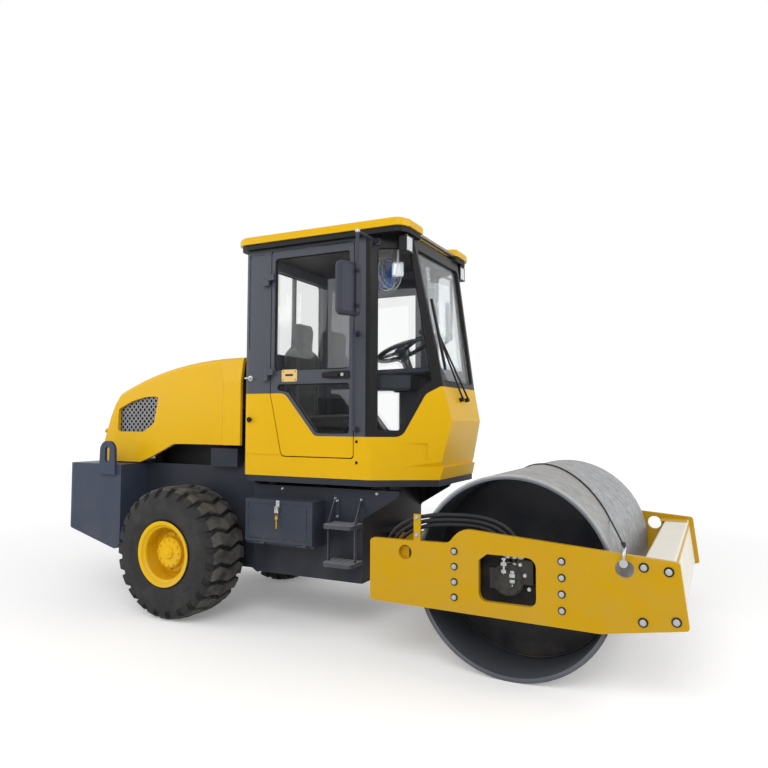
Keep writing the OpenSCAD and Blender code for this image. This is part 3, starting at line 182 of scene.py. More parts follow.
def makeEdgeWear():        # where corners rub bare
    tree, given, result = newGroup("edgeWear", {"Radius": 0.005, "Breakup": 30.0, "Amount": 0.5}, ["Mask"])
    soft = put(tree, "Bevel", {"Radius": given["Radius"]}, samples=4)
    real = put(tree, "NewGeometry")
    facing = put(tree, "VectorMath", {0: soft.outputs[0], 1: real.outputs["Normal"]}, operation="DOT_PRODUCT")
    corner = spread(tree, facing.outputs["Value"], 0.985, 0.84)
    place = ownPlace(tree)
    spots = noise(tree, place, given["Breakup"], 5.0)
    broken = times(tree, corner, spread(tree, spots, 0.42, 0.62))
    tree.links.new(times(tree, broken, given["Amount"], clamp=True), result["Mask"])


def makeDustFilm():        # road dust, thick near the ground and on ledges
    tree, given, result = newGroup("dustFilm", {"Top": 1.2, "Amount": 0.3, "Scale": 6.0}, ["Mask"])
    place = ownPlace(tree)
    height = put(tree, "SeparateXYZ", {0: place}).outputs["Z"]
    low = put(tree, "MapRange", {"Value": height, "From Min": given["Top"], "From Max": 0.1}).outputs[0]
    flat = times(tree, spread(tree, facingUp(tree), 0.6, 1.0), 0.45)
    cloud = noise(tree, place, given["Scale"], 6.0)
    fine = noise(tree, place, 140.0, 2.0)
    patchy = times(tree, spread(tree, cloud, 0.35, 0.75), spread(tree, fine, 0.2, 0.7, 0.5, 1.0))
    film = times(tree, sums(tree, "MAXIMUM", low, flat), patchy)
    tree.links.new(times(tree, film, given["Amount"], clamp=True), result["Mask"])


def makeSurfaceGrain():        # slow tone drift, fine speckle and a shallow height
    tree, given, result = newGroup("surfaceGrain", {"Scale": 260.0, "Drift": 0.06}, ["Tone", "Gloss", "Height"])
    place = ownPlace(tree)
    slow = noise(tree, place, 2.3, 3.0)
    fine = noise(tree, place, given["Scale"], 3.0)
    shift = times(tree, sums(tree, "SUBTRACT", slow, 0.5), given["Drift"])
    tree.links.new(sums(tree, "ADD", shift, 1.0), result["Tone"])
    tree.links.new(spread(tree, slow, 0.3, 0.7, -0.04, 0.05), result["Gloss"])
    tree.links.new(fine, result["Height"])


def makeAxleRadius():        # distance, turn and side of a point about an axle that runs across the machine
    tree, given, result = newGroup("axleRadius", {"AxleX": 0.0, "AxleZ": 0.0}, ["Radius", "Angle", "Across"])
    place = placeParts(tree)
    forward = sums(tree, "SUBTRACT", place["X"], given["AxleX"])
    above = sums(tree, "SUBTRACT", place["Z"], given["AxleZ"])
    square = sums(tree, "ADD", times(tree, forward, forward), times(tree, above, above))
    tree.links.new(sums(tree, "SQRT", square), result["Radius"])
    tree.links.new(sums(tree, "ARCTAN2", above, forward), result["Angle"])
    tree.links.new(place["Y"], result["Across"])


cabWalls = {"taperFrom": 1.64, "skin": (0.02, 0.03), "back": 0.545, "front": 2.03, "top": 2.2}


def makeCabInside(look):        # 1 on the cab's inner walls, which lie deeper than its outer skin
    tree, _, result = newGroup("cabInside", {}, ["Mask"])
    place = placeParts(tree)
    fromSide = sums(tree, "SUBTRACT", cabSide, sums(tree, "ABSOLUTE", place["Y"]))
    behind = sums(tree, "SUBTRACT", axle.x + look["taperFrom"], place["X"])        # where the sides begin to draw in
    fromTaper = sums(tree, "ADD", times(tree, behind, cornerOut[0]), times(tree, fromSide, cornerOut[1]))
    deep = spread(tree, sums(tree, "MINIMUM", fromSide, fromTaper), *look["skin"])
    long = times(tree, sums(tree, "GREATER_THAN", place["X"], axle.x + look["back"]),
                 sums(tree, "LESS_THAN", place["X"], axle.x + look["front"]))
    low = sums(tree, "LESS_THAN", place["Z"], look["top"])
    tree.links.new(times(tree, deep, times(tree, long, low)), result["Mask"])


makeCabInside(cabWalls)
makeEdgeWear()
makeDustFilm()
makeSurfaceGrain()
makeAxleRadius()


def newMaterial(name, **fixed):        # a material whose constant values sit on the shader itself
    material = bpy.data.materials.new(name)
    material.use_nodes = True
    tree = material.node_tree
    shader = tree.nodes["Principled BSDF"]
    for label, value in fixed.items():
        shader.inputs[label.replace("_", " ")].default_value = value
    return material, tree, shader.inputs


def roughen(tree, sockets, height, strength, distance=0.001):
    bump = put(tree, "Bump", {"Height": height, "Strength": strength, "Distance": distance})
    tree.links.new(bump.outputs[0], sockets["Normal"])


dustColour = tint(150, 140, 122)


def coated(name, look):        # paint or plastic with drift, dust and rubbed corners
    fixed = {"Coat_Weight": look.get("coat", 0.0), "Coat_Roughness": 0.12, "Metallic": look.get("metal", 0.0),
             "Specular_IOR_Level": look.get("shine", 0.25)}
    material, tree, sockets = newMaterial(name, **fixed)
    grain = useGroup(tree, "surfaceGrain", Scale=look.get("grain", 260.0), Drift=0.08)
    worn = useGroup(tree, "edgeWear", Radius=0.004, Amount=look["wear"])["Mask"]
    dust = useGroup(tree, "dustFilm", Top=1.3, Amount=look["dust"])["Mask"]
    base = blendColour(tree, 1.0, tint(*look["colour"]), greys(tree, grain["Tone"]), "MULTIPLY")
    if "inside" in look:
        base = blendColour(tree, useGroup(tree, "cabInside")["Mask"], base, tint(*look["inside"]))
    if "front" in look:        # another colour ahead of a station
        place = placeParts(tree)
        past = sums(tree, "GREATER_THAN", place["X"], axle.x + look["frontFrom"])
        if "within" in look:        # and no further out than this
            aside = sums(tree, "ABSOLUTE", place["Y"])
            past = times(tree, past, sums(tree, "LESS_THAN", aside, look["within"]))
        base = blendColour(tree, past, base, tint(*look["front"]))
    if "top" in look:        # another colour on what faces up
        base = blendColour(tree, spread(tree, facingUp(tree), 0.75, 0.95), base, tint(*look["top"]))
    rubbed = blendColour(tree, worn, base, tint(*look.get("bare", (120, 118, 112))))
    tree.links.new(blendColour(tree, dust, rubbed, dustColour), sockets["Base Color"])
    matt = sums(tree, "MULTIPLY_ADD", dust, 0.5, look["rough"])
    tree.links.new(sums(tree, "ADD", matt, grain["Gloss"], clamp=True), sockets["Roughness"])
    roughen(tree, sockets, grain["Height"], look.get("bump", 0.08))
    return material


slate = {"colour": (43, 46, 56), "rough": 0.42, "coat": 0.03, "shine": 0.16, "wear": 0.35, "dust": 0.2,
         "bare": (112, 116, 126)}
paints = {
    "cabYellow": {"colour": (222, 174, 2), "rough": 0.3, "coat": 0.05, "shine": 0.16, "wear": 0.15, "dust": 0.12,
                  "bare": (236, 205, 80), "inside": (30, 34, 38)},
    # the cab's yellow paint made darker as painted shade, for the side plates, rear beam and beam strip
    "plateYellowInShade": {"colour": (198, 153, 3), "rough": 0.4, "coat": 0.03, "shine": 0.14, "wear": 0.45, "dust": 0.22,
                     "bare": (226, 196, 96)},
    "rimYellow": {"colour": (230, 184, 6), "rough": 0.38, "coat": 0.03, "shine": 0.16, "wear": 0.3, "dust": 0.3,
                  "bare": (190, 150, 40)},
    "frameSlate": slate,
    "jointSlate": slate | {"dust": 0.1, "front": (20, 21, 25), "frontFrom": 1.6, "within": 0.53},
    "weightSlate": slate | {"colour": (58, 66, 83), "rough": 0.4, "bare": (132, 138, 148)},
    "cabSlate": {"colour": (72, 75, 83), "rough": 0.38, "coat": 0.05, "shine": 0.2, "wear": 0.5, "dust": 0.1,
                 "bare": (128, 130, 140), "front": (14, 14, 16), "frontFrom": 1.602},
    "boxSlate": slate | {"colour": (49, 55, 68), "rough": 0.4, "wear": 0.4, "bare": (130, 134, 144)},
    "beamCream": {"colour": (232, 227, 212), "rough": 0.4, "coat": 0.06, "wear": 0.3, "dust": 0.2,
                  "bare": (170, 164, 150)},
    "chassisBlack": {"colour": (22, 23, 26), "rough": 0.5, "wear": 0.25, "dust": 0.3, "bare": (70, 70, 74)},
    "drumInside": {"colour": (36, 38, 46), "rough": 0.42, "coat": 0.04, "wear": 0.1, "dust": 0.25,
                   "bare": (70, 70, 74)},
    "trimBlack": {"colour": (17, 17, 19), "rough": 0.55, "wear": 0.1, "dust": 0.08, "grain": 900.0, "bump": 0.2,
                  "bare": (60, 60, 62)},
    "mirrorShell": {"colour": (52, 54, 66), "rough": 0.5, "wear": 0.15, "dust": 0.1, "grain": 1100.0, "bump": 0.2,
                    "bare": (84, 86, 96)},
    "cabinPlastic": {"colour": (34, 38, 46), "rough": 0.6, "wear": 0.1, "dust": 0.1, "grain": 1200.0, "bump": 0.25,
                     "bare": (70, 72, 76)},
    "sealRubber": {"colour": (15, 15, 16), "rough": 0.7, "wear": 0.0, "dust": 0.12, "grain": 700.0, "bump": 0.2},
    "zincPlate": {"colour": (178, 180, 182), "rough": 0.36, "metal": 0.85, "wear": 0.3, "dust": 0.2,
                  "bare": (150, 146, 140), "bump": 0.15},
    "stepSteel": {"colour": (70, 73, 82), "rough": 0.45, "metal": 0.2, "wear": 0.5, "dust": 0.15,
                  "bare": (168, 170, 174), "bump": 0.2, "top": (150, 152, 155)},
    "grilleSteel": {"colour": (116, 118, 122), "rough": 0.4, "metal": 0.5, "wear": 0.2, "dust": 0.15,
                    "bare": (190, 190, 190)},
    "rodChrome": {"colour": (205, 206, 208), "rough": 0.12, "metal": 1.0, "wear": 0.0, "dust": 0.12, "bump": 0.02},
    "fanBlue": {"colour": (24, 72, 150), "rough": 0.4, "coat": 0.2, "wear": 0.1, "dust": 0.1, "bare": (90, 120, 170)},
    "panelWhite": {"colour": (226, 228, 228), "rough": 0.4, "coat": 0.2, "wear": 0.1, "dust": 0.1,
                   "bare": (190, 190, 190)},
    "ropeDark": {"colour": (44, 42, 40), "rough": 0.6, "metal": 0.3, "wear": 0.2, "dust": 0.25, "grain": 700.0,
                 "bump": 0.4, "bare": (90, 86, 80)},
    "lockBeige": {"colour": (222, 190, 122), "rough": 0.4, "wear": 0.3, "dust": 0.1, "bare": (150, 120, 70)},
    "keyBrass": {"colour": (196, 150, 52), "rough": 0.3, "metal": 0.9, "wear": 0.2, "dust": 0.05},
}
finish = {name: coated(name, look) for name, look in paints.items()}

drumLook = {
    "steel": (176, 178, 180),
    "shade": (124, 125, 128),
    "warm": (150, 146, 140),
    # bare steel of the end rim, lightened as a painted highlight
    "edge": (190, 191, 192),
    # painted shade on the lower half of the drum's end rim
    "lowerRimShade": (58, 60, 64),
    "stain": (118, 110, 98),
    # the shell's inside: its dark paint lightened as a painted sheen of bounced light
    "inner": (96, 100, 108),
    "bandTurn": 0.776,        # metres across for each radian round the drum
    "bandStart": -1.004,
}


def rolledSteel(look):        # a drum's face: circling streaks and scuffs, duller on one side of a slanting line, with a painted highlight and painted shade on the end rims and a painted sheen inside the shell
    material, tree, sockets = newMaterial("rolledSteel", Metallic=0.35, Specular_IOR_Level=0.3)
    polar = useGroup(tree, "axleRadius", AxleX=drumAxis.x, AxleZ=drumAxis.z)
    around = times(tree, polar["Angle"], 0.6)
    lane = put(tree, "CombineXYZ", {0: around, 1: times(tree, polar["Across"], 26.0)}).outputs[0]
    streak = noise(tree, lane, 3.0, 6.0, 0.65)
    patch = put(tree, "CombineXYZ", {0: times(tree, polar["Angle"], 5.0),
                                     1: times(tree, polar["Across"], 7.0)}).outputs[0]
    scuff = noise(tree, patch, 2.2, 8.0, 0.7)
    speck = noise(tree, ownPlace(tree), 220.0, 4.0)
    scrape = sums(tree, "ADD", times(tree, streak, 0.55), times(tree, scuff, 0.45))
    grey = blendColour(tree, spread(tree, scrape, 0.4, 0.6), tint(*look["shade"]), tint(*look["steel"]))
    grey = blendColour(tree, spread(tree, speck, 0.55, 0.8, 0.0, 0.5), grey, tint(*look["shade"]))
    line = sums(tree, "MULTIPLY_ADD", polar["Angle"], look["bandTurn"], look["bandStart"])
    apart = sums(tree, "SUBTRACT", polar["Across"], line)
    nearSide = spread(tree, apart, 0.02, -0.02, 0.0, 0.4)
    grey = blendColour(tree, nearSide, grey, tint(*look["warm"]))
    rim = spread(tree, sums(tree, "ABSOLUTE", polar["Across"]), 0.862, 0.872)
    outer = spread(tree, polar["Radius"], drumAxis.z - 0.02, drumAxis.z - 0.004)
    # the end rim lightened: bare steel with a painted highlight
    grey = blendColour(tree, times(tree, rim, 0.6), grey, tint(*look["edge"]))
    # painted shade: the end rim darkened towards its lower half, where it falls in shadow
    lowerHalfShade = spread(tree, sums(tree, "SINE", polar["Angle"]), 0.35, -0.35, 0.0, 0.9)
    grey = blendColour(tree, times(tree, rim, lowerHalfShade), grey, tint(*look["lowerRimShade"]))
    cloud = noise(tree, patch, 0.8, 7.0, 0.75)
    grey = blendColour(tree, spread(tree, cloud, 0.52, 0.74, 0.0, 0.55), grey, tint(*look["stain"]))
    dust = useGroup(tree, "dustFilm", Top=0.7, Amount=0.3)["Mask"]
    grey = blendColour(tree, dust, grey, dustColour)
    # inside the shell the lighter inner colour, a painted sheen, replaces the steel
    tree.links.new(blendColour(tree, outer, tint(*look["inner"]), grey), sockets["Base Color"])
    tree.links.new(spread(tree, scrape, 0.3, 0.7, 0.62, 0.4), sockets["Roughness"])
    roughen(tree, sockets, scrape, 0.25, 0.002)
    return material


tyreLook = {
    "rubber": (40, 40, 42),
    "crown": (92, 90, 86),
    "dusty": (74, 72, 68),
    "crownFrom": 0.494,        # distance from the axle where the lugs wear grey
    "ribs": 95.0,
}


def tyreRubber(look):
    material, tree, sockets = newMaterial("tyreRubber", Specular_IOR_Level=0.25)
    polar = useGroup(tree, "axleRadius", AxleX=axle.x, AxleZ=axle.z)
    place = ownPlace(tree)
    cloud = noise(tree, place, 9.0, 6.0)
    fine = noise(tree, place, 320.0, 3.0)
    crown = times(tree, spread(tree, polar["Radius"], look["crownFrom"] - 0.012, look["crownFrom"]),
                  spread(tree, cloud, 0.3, 0.65))
    base = blendColour(tree, spread(tree, cloud, 0.45, 0.75, 0.0, 0.6), tint(*look["rubber"]), tint(*look["dusty"]))
    worn = blendColour(tree, crown, base, tint(*look["crown"]))
    rubbed = useGroup(tree, "edgeWear", Radius=0.006, Amount=0.35)["Mask"]
    tree.links.new(blendColour(tree, rubbed, worn, tint(*look["crown"])), sockets["Base Color"])
    tree.links.new(spread(tree, cloud, 0.3, 0.7, 0.62, 0.85), sockets["Roughness"])
    wave = sums(tree, "SINE", times(tree, polar["Radius"], look["ribs"] * 6.283))
    wall = times(tree, spread(tree, polar["Radius"], 0.40, 0.38), sums(tree, "GREATER_THAN", wave, 0.7))
    roughen(tree, sockets, sums(tree, "ADD", times(tree, fine, 0.5), wall), 0.35, 0.002)
    return material


def hoseRubber():        # wrapped rubber hose
    material, tree, sockets = newMaterial("hoseRubber", Specular_IOR_Level=0.3)
    place = ownPlace(tree)
    wrap = put(tree, "TexWave", {"Vector": place, "Scale": 42.0, "Distortion": 1.2, "Detail": 2.0},
               bands_direction="DIAGONAL").outputs[0]
    grain = useGroup(tree, "surfaceGrain", Scale=500.0, Drift=0.1)
    tree.links.new(blendColour(tree, wrap, tint(16, 17, 20), tint(38, 40, 46)), sockets["Base Color"])
    tree.links.new(sums(tree, "ADD", grain["Gloss"], 0.42), sockets["Roughness"])
    roughen(tree, sockets, wrap, 0.5, 0.0015)
    return material


def paneGlass(name, colour, alpha, smear):
    material, tree, sockets = newMaterial(name, Transmission_Weight=1.0, IOR=1.45, Alpha=alpha)
    cloud = noise(tree, ownPlace(tree), 3.0, 5.0)
    shade = spread(tree, cloud, 0.3, 0.7)
    paler = tuple(min(255, part + 12) for part in colour)
    tree.links.new(blendColour(tree, shade, tint(*colour), tint(*paler)), sockets["Base Color"])
    tree.links.new(spread(tree, cloud, 0.35, 0.7, 0.01, smear), sockets["Roughness"])
    return material


def wovenCloth():        # dark seat cover
    material, tree, sockets = newMaterial("wovenCloth", Sheen_Weight=0.35, Sheen_Roughness=0.4)
    place = ownPlace(tree)
    warp = bands(tree, place, 110.0, "X")
    weft = bands(tree, place, 110.0, "Y")
    weave = times(tree, warp, weft)
    cloud = noise(tree, place, 14.0, 4.0)
    base = blendColour(tree, weave, tint(16, 17, 19), tint(31, 32, 36))
    base = blendColour(tree, spread(tree, cloud, 0.4, 0.8, 0.0, 0.16), base, dustColour)
    tree.links.new(base, sockets["Base Color"])
    tree.links.new(spread(tree, cloud, 0.3, 0.7, 0.75, 0.9), sockets["Roughness"])
    roughen(tree, sockets, weave, 0.5, 0.001)
    return material


def lampLens():        # ribbed clear cover over a bright reflector
    material, tree, sockets = newMaterial("lampLens", Coat_Weight=1.0, Coat_Roughness=0.05, Metallic=0.55)
    place = ownPlace(tree)
    ribs = bands(tree, place, 24.0, "Y")
    rows = bands(tree, place, 24.0, "Z")
    cells = times(tree, ribs, rows)
    tree.links.new(blendColour(tree, cells, tint(190, 194, 198), tint(240, 242, 244)), sockets["Base Color"])
    tree.links.new(spread(tree, cells, 0.0, 1.0, 0.3, 0.12), sockets["Roughness"])
    roughen(tree, sockets, cells, 0.4, 0.002)
    return material


def silvered():        # mirror glass
    material, tree, sockets = newMaterial("silvered", Metallic=1.0)
    cloud = noise(tree, ownPlace(tree), 20.0, 4.0)
    tree.links.new(blendColour(tree, cloud, tint(214, 220, 224), tint(228, 232, 234)), sockets["Base Color"])
    tree.links.new(spread(tree, cloud, 0.4, 0.8, 0.02, 0.08), sockets["Roughness"])
    return material


finish.update({
    "rolledSteel": rolledSteel(drumLook),
    "tyreRubber": tyreRubber(tyreLook),
    "hoseRubber": hoseRubber(),
    "sideGlass": paneGlass("sideGlass", (230, 237, 238), 0.13, 0.02),
    "screenGlass": paneGlass("screenGlass", (206, 228, 236), 0.42, 0.03),
    "wovenCloth": wovenCloth(),
    "lampLens": lampLens(),
    "silvered": silvered(),
})
print("materials made:", len(finish))

# Finishes of the solids

nodeFinish = {
    "cabYellow": ["hood", "cab_panels", "roof_cap", "door_panel"],
    "rimYellow": ["rim_right", "rim_left"],
    # plates and rear beam take the cab's yellow darkened as painted shade
    "plateYellowInShade": ["side_plates", "rear_beam"],
    "jointSlate": ["rear_frame"],
    "frameSlate": ["bulkhead", "rear_axle", "side_tank", "cab_floor"],
    "weightSlate": ["counterweight", "lifting_eyes"],
    "cabSlate": ["cab_frame", "door_frame"],
    "boxSlate": ["toolbox", "toolbox_door"],
    "beamCream": ["front_beam"],
    "chassisBlack": ["engine", "drum_mounts", "drum_hubs", "barrel_right", "barrel_left"],
    "drumInside": ["drum_discs"],
    "trimBlack": ["roof_liner", "wiper", "work_lamps", "door_handle"],
    "mirrorShell": ["mirrors", "grab_rail"],
    "cabinPlastic": ["console", "steering_wheel", "seat_base"],
    "sealRubber": ["cab_mounts"],
    "hoseRubber": ["hoses"],
    "zincPlate": ["shackle", "toolbox_latch"],
    "stepSteel": ["steps"],
    "grilleSteel": ["hood_grilles"],
    "rodChrome": ["rod_right", "rod_left"],
    "rolledSteel": ["drum_shell"],
    "tyreRubber": ["tyre_right", "tyre_left"],
    "sideGlass": ["quarter_glass", "left_glass", "rear_glass", "door_glass"],
    "screenGlass": ["windscreen"],
    "wovenCloth": ["seat_cushion", "seat_back"],
}
for look, names in nodeFinish.items():
    for name in names:
        nodes[name].data.materials.clear()
        nodes[name].data.materials.append(finish[look])
print("solids dressed")

# Mesh tools


def crossAxes(axis):        # two directions square to an axis
    axis = axis.normalized()
    start = upright if abs(axis.z) < 0.9 else ahead
    first = axis.cross(start).normalized()
    return first, axis.cross(first).normalized()


def turns(count):        # even angles round a circle
    return [2 * math.pi * k / count for k in range(count)]


def onCircle(centre, axes, radius, a):
    return centre + radius * (math.cos(a) * axes[0] + math.sin(a) * axes[1])


def bridge(bm, lower, upper):        # faces between two rings of as many points
    count = len(lower)
    for k in range(count):
        bm.faces.new((lower[k], lower[(k + 1) % count], upper[(k + 1) % count], upper[k]))


def closeRings(bm, rings):        # a skin over a row of rings, with both ends shut
    bm.faces.new(list(reversed(rings[0])))
    for lower, upper in zip(rings, rings[1:]):
        bridge(bm, lower, upper)
    bm.faces.new(rings[-1])


def addLathe(bm, at, axis, profile, steps=24):        # profile of radius and distance along the axis
    axis = axis.normalized()
    axes = crossAxes(axis)
    closeRings(bm, [[bm.verts.new(onCircle(at + axis * along, axes, radius, a)) for a in turns(steps)]
                    for radius, along in profile])


def addDisc(bm, at, axis, radius, thick, lip=0.001, steps=28):        # a round plate or bar with broken edges
    addLathe(bm, at, axis, [(radius - lip, 0), (radius, lip), (radius, thick - lip), (radius - lip, thick)], steps)


def addRod(bm, start, end, radius, steps=16):
    reach = (end - start).length
    addDisc(bm, start, end - start, radius, reach, min(0.001, radius * 0.4, reach * 0.3), steps)


def addTube(bm, path, radius, steps=12, closed=False):        # a round section carried along a path
    count = len(path)
    rings = []
    side = None
    for i, point in enumerate(path):
        before = path[i - 1] if closed or i > 0 else point
        after = path[(i + 1) % count] if closed or i < count - 1 else point
        along = (after - before).normalized()
        side = crossAxes(along)[0] if side is None else (side - along * side.dot(along)).normalized()
        axes = side, along.cross(side)
        rings.append([bm.verts.new(onCircle(point, axes, radius, a)) for a in turns(steps)])
    if not closed:
        closeRings(bm, rings)
        return
    for lower, upper in zip(rings, rings[1:]):
        bridge(bm, lower, upper)
    shift = min(range(steps), key=lambda k: (rings[-1][0].co - rings[0][k].co).length)
    bridge(bm, rings[-1], rings[0][shift:] + rings[0][:shift])


def addPrism(bm, outline, depth, bevel=0.0015):        # a flat outline given thickness, its edges broken
    normal = (outline[1] - outline[0]).cross(outline[2] - outline[1]).normalized()
    middle = sum(outline, Vector()) / len(outline)
    size = min((point - middle).length for point in outline)
    lip = min(bevel, depth * 0.3)
    inner = [point + (middle - point) * (lip / size) for point in outline]
    layers = [(inner, 0), (outline, lip), (outline, depth - lip), (inner, depth)]
    closeRings(bm, [[bm.verts.new(point + normal * rise) for point in loop] for loop, rise in layers])


def addBlock(bm, low, high, bevel=0.002):        # a box with broken edges
    low, high = Vector(low), Vector(high)
    corners = (low.x, low.y), (high.x, low.y), (high.x, high.y), (low.x, high.y)
    addPrism(bm, [Vector((x, y, low.z)) for x, y in corners], high.z - low.z, bevel)


def addFerrule(bm, at, axis, radius, reach):        # a crimped sleeve on a wire
    neck, lip = radius - 0.0025, 0.003
    addLathe(bm, at, axis, [(neck, 0), (radius, lip), (radius, reach - lip), (neck, reach)], 14)


def addBolt(bm, at, axis, across, washer=0.0, tall=0.6):        # a hexagon head, on a washer if one is given
    axis = axis.normalized()
    thick = 0.0
    if washer:
        thick = 0.16 * across
        addDisc(bm, at, axis, washer, thick)
    head = tall * across
    radius = across / 2 / math.cos(math.pi / 6)
    addLathe(bm, at + axis * thick, axis, [(radius, 0), (radius, head * 0.82), (radius * 0.86, head)], 6)


def addNutRing(bm, centre, axis, radius, count, across, washer=0.0, start=0.0):
    axes = crossAxes(axis)
    for a in turns(count):
        addBolt(bm, onCircle(centre, axes, radius, start + a), axis, across, washer)


def meshFrom(name, bm):
    mesh = bpy.data.meshes.new(name)
    bmesh.ops.recalc_face_normals(bm, faces=bm.faces)
    bm.to_mesh(mesh)
    bm.free()
    return mesh


def finishPiece(name, bm, look, body="chassis", smooth=32):
    mesh = meshFrom(name, bm)
    mesh.materials.append(finish[look])
    mesh.polygons.foreach_set("use_smooth", [True] * len(mesh.polygons))
    mesh.set_sharp_from_angle(angle=math.radians(smooth))
    piece = addObject(name, mesh)
    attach(piece, body)


def rimLoops(nodeName, towards, level=None):        # the outlines of a solid's faces that look one way, or lie level
    mesh = nodes[nodeName].data
    towards = Vector(towards).normalized()
    spots = [tuple(round(part, 5) for part in vertex.co) for vertex in mesh.vertices]
    follow = {}
    for face in mesh.polygons:
        ring = [spots[i] for i in face.vertices]
        if level is None and face.normal.dot(towards) < 0.96:
            continue
        if level is not None and any(abs(spot[2] - level) > 0.0002 for spot in ring):
            continue
        for a, b in zip(ring, ring[1:] + ring[:1]):
            if (b, a) in follow:
                del follow[(b, a)]
            else:
                follow[(a, b)] = True
    leads = {}
    for a, b in follow:
        leads.setdefault(a, []).append(b)
    loops = []
    while leads:
        start = next(iter(leads))
        loop = [start]
        while loop[-1] in leads:
            step = leads[loop[-1]].pop()
            if not leads[loop[-1]]:
                del leads[loop[-1]]
            if step == start:
                break
            loop.append(step)
        if len(loop) > 3:
            loops.append([Vector(point) for point in loop])
    return loops


def evenLoop(loop, pitch):        # the same loop with its long stretches divided
    path = []
    for a, b in zip(loop, loop[1:] + loop[:1]):
        parts = max(1, round((b - a).length / pitch))
        path += [a.lerp(b, k / parts) for k in range(parts)]
    return path


def softOutline(corners, radius, steps=5):        # a flat outline with rounded corners
    path = []
    for i, corner in enumerate(corners):
        back = (corners[i - 1] - corner).normalized()
        onward = (corners[(i + 1) % len(corners)] - corner).normalized()
        half = back.angle(onward) / 2
        middle = corner + (back + onward).normalized() * (radius / math.sin(half))
        start = corner + back * (radius / math.tan(half)) - middle
        end = corner + onward * (radius / math.tan(half)) - middle
        path += [middle + start.slerp(end, k / steps).normalized() * radius for k in range(steps + 1)]
    return path


def addSlab(bm, at, right, up, size, depth, radius=0.004, bevel=0.0015):        # a rounded plate standing on a face
    right, up = right.normalized(), up.normalized()
    across, tall = right * size[0] / 2, up * size[1] / 2
    corners = [at - across - tall, at + across - tall, at + across + tall, at - across + tall]
    addPrism(bm, softOutline(corners, radius), depth, bevel)


def addRing(bm, centre, axis, radius, tube, count=48, steps=10):
    axes = crossAxes(axis)
    addTube(bm, [onCircle(centre, axes, radius, a) for a in turns(count)], tube, steps, True)


def bothHalves(half, place):        # a loop made of a half outline's mirror image and the half itself
    return [place(-1, *spot) for spot in half] + [place(1, *spot) for spot in reversed(half)]


def fourWays(across, up):
    return [(dx, dz) for dx in (-across, across) for dz in (-up, up)]


def addBall(bm, at, radius, rings=8, steps=16):
    profile = [(radius * math.sin(math.pi * (k + 0.15) / (rings + 0.3)), -radius * math.cos(math.pi * k / rings))
               for k in range(rings + 1)]
    addLathe(bm, at, upright, profile, steps)


# Bolts on the front frame

plateBolts = {
    "columns": (2.407, 3.053),
    "rows": (0.7545, 0.6625, 0.5705, 0.4785),
    "beam": ((3.491, 0.763), (3.616, 0.752), (3.483, 0.471), (3.649, 0.494)),
    "across": 0.03,
    "ring": 0.023,
    "beamAcross": 0.034,
    "beamRing": 0.0265,
}


def makePlateBolts(look):
    heads, rings = bmesh.new(), bmesh.new()
    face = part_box("side_plates")[1].y
    spots = [(x, z, look["across"], look["ring"]) for x in look["columns"] for z in look["rows"]]
    spots += [(x, z, look["beamAcross"], look["beamRing"]) for x, z in look["beam"]]
    for side in sides.values():
        out = Vector((0, side, 0))
        for x, z, across, ring in spots:
            at = st(x, side * face, z)
            thick = 0.12 * across
            addDisc(rings, at, out, ring, thick)
            addLathe(heads, at + out * thick, out,
                     [(across * 0.52, 0), (across * 0.54, 0.003), (across * 0.5, 0.007), (across * 0.3, 0.009)], 24)
            addBolt(heads, at + out * (thick + 0.006), out, across * 0.62, tall=0.45)
    finishPiece("plateBoltRings", rings, "chassisBlack", "front_frame")
    finishPiece("plateBoltHeads", heads, "zincPlate", "front_frame")


makePlateBolts(plateBolts)
print("front frame bolted")

# Hose fittings, motor covers and the plates' small parts

hoseEnds = {
    "rise": [(1.925 + 0.04 * k, 0.7005) for k in range(3)],
    "drop": [(2.805 - 0.042 * k, 0.7405) for k in range(3)],
    "aside": 0.912,
    "sleeve": 0.0172,
    "sleeveLong": 0.052,
    "nut": 0.036,
    "postAt": 2.16,
    "postBolts": (0.835, 0.943),
}


def makeHoseEnds(look):
    bm = bmesh.new()
    for side in sides.values():
        for x, z in look["rise"] + look["drop"]:
            at = st(x, side * look["aside"], z)
            r = look["sleeve"]
            addLathe(bm, at, upright, [(r - 0.001, 0.012), (r, 0.013), (r, 0.034), (r - 0.0022, 0.036), (r, 0.038),
                                       (r, look["sleeveLong"] - 0.003), (r - 0.002, look["sleeveLong"])], 18)
            addBolt(bm, at - upright * 0.006, upright, look["nut"], tall=0.5)
        for x, z in look["drop"]:
            addBolt(bm, st(x, side * look["aside"], z - 0.05), upright, look["nut"] * 1.08, tall=0.55)
            addBolt(bm, st(x, side * look["aside"], z - 0.082), upright, look["nut"] * 1.2, tall=0.4)
        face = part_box("side_plates")[1].y
        for z in look["postBolts"]:
            addBolt(bm, st(look["postAt"], side * face, z), leftwards * side, 0.02, 0.014)
    finishPiece("hoseFittings", bm, "zincPlate", "front_frame")


motorCover = {
    "face": 0.941,
    "radius": 0.09,
    "bolts": 8,
    "boltRing": 0.076,
    "risers": ((-0.021, 0.01, 0.125), (0.03, -0.035, 0.05)),        # upright fittings: beside the axis, foot and head
    "ports": ((0.105, 0.035), (0.13, -0.042), (0.078, 0.095)),
    "blocks": (((-0.11, -0.06), (-0.07, 0.06), 0.025),        # low and high corner, half of the width
               ((0.055, -0.02), (0.15, 0.12), 0.028)),
    "blocksIn": 0.03,
}


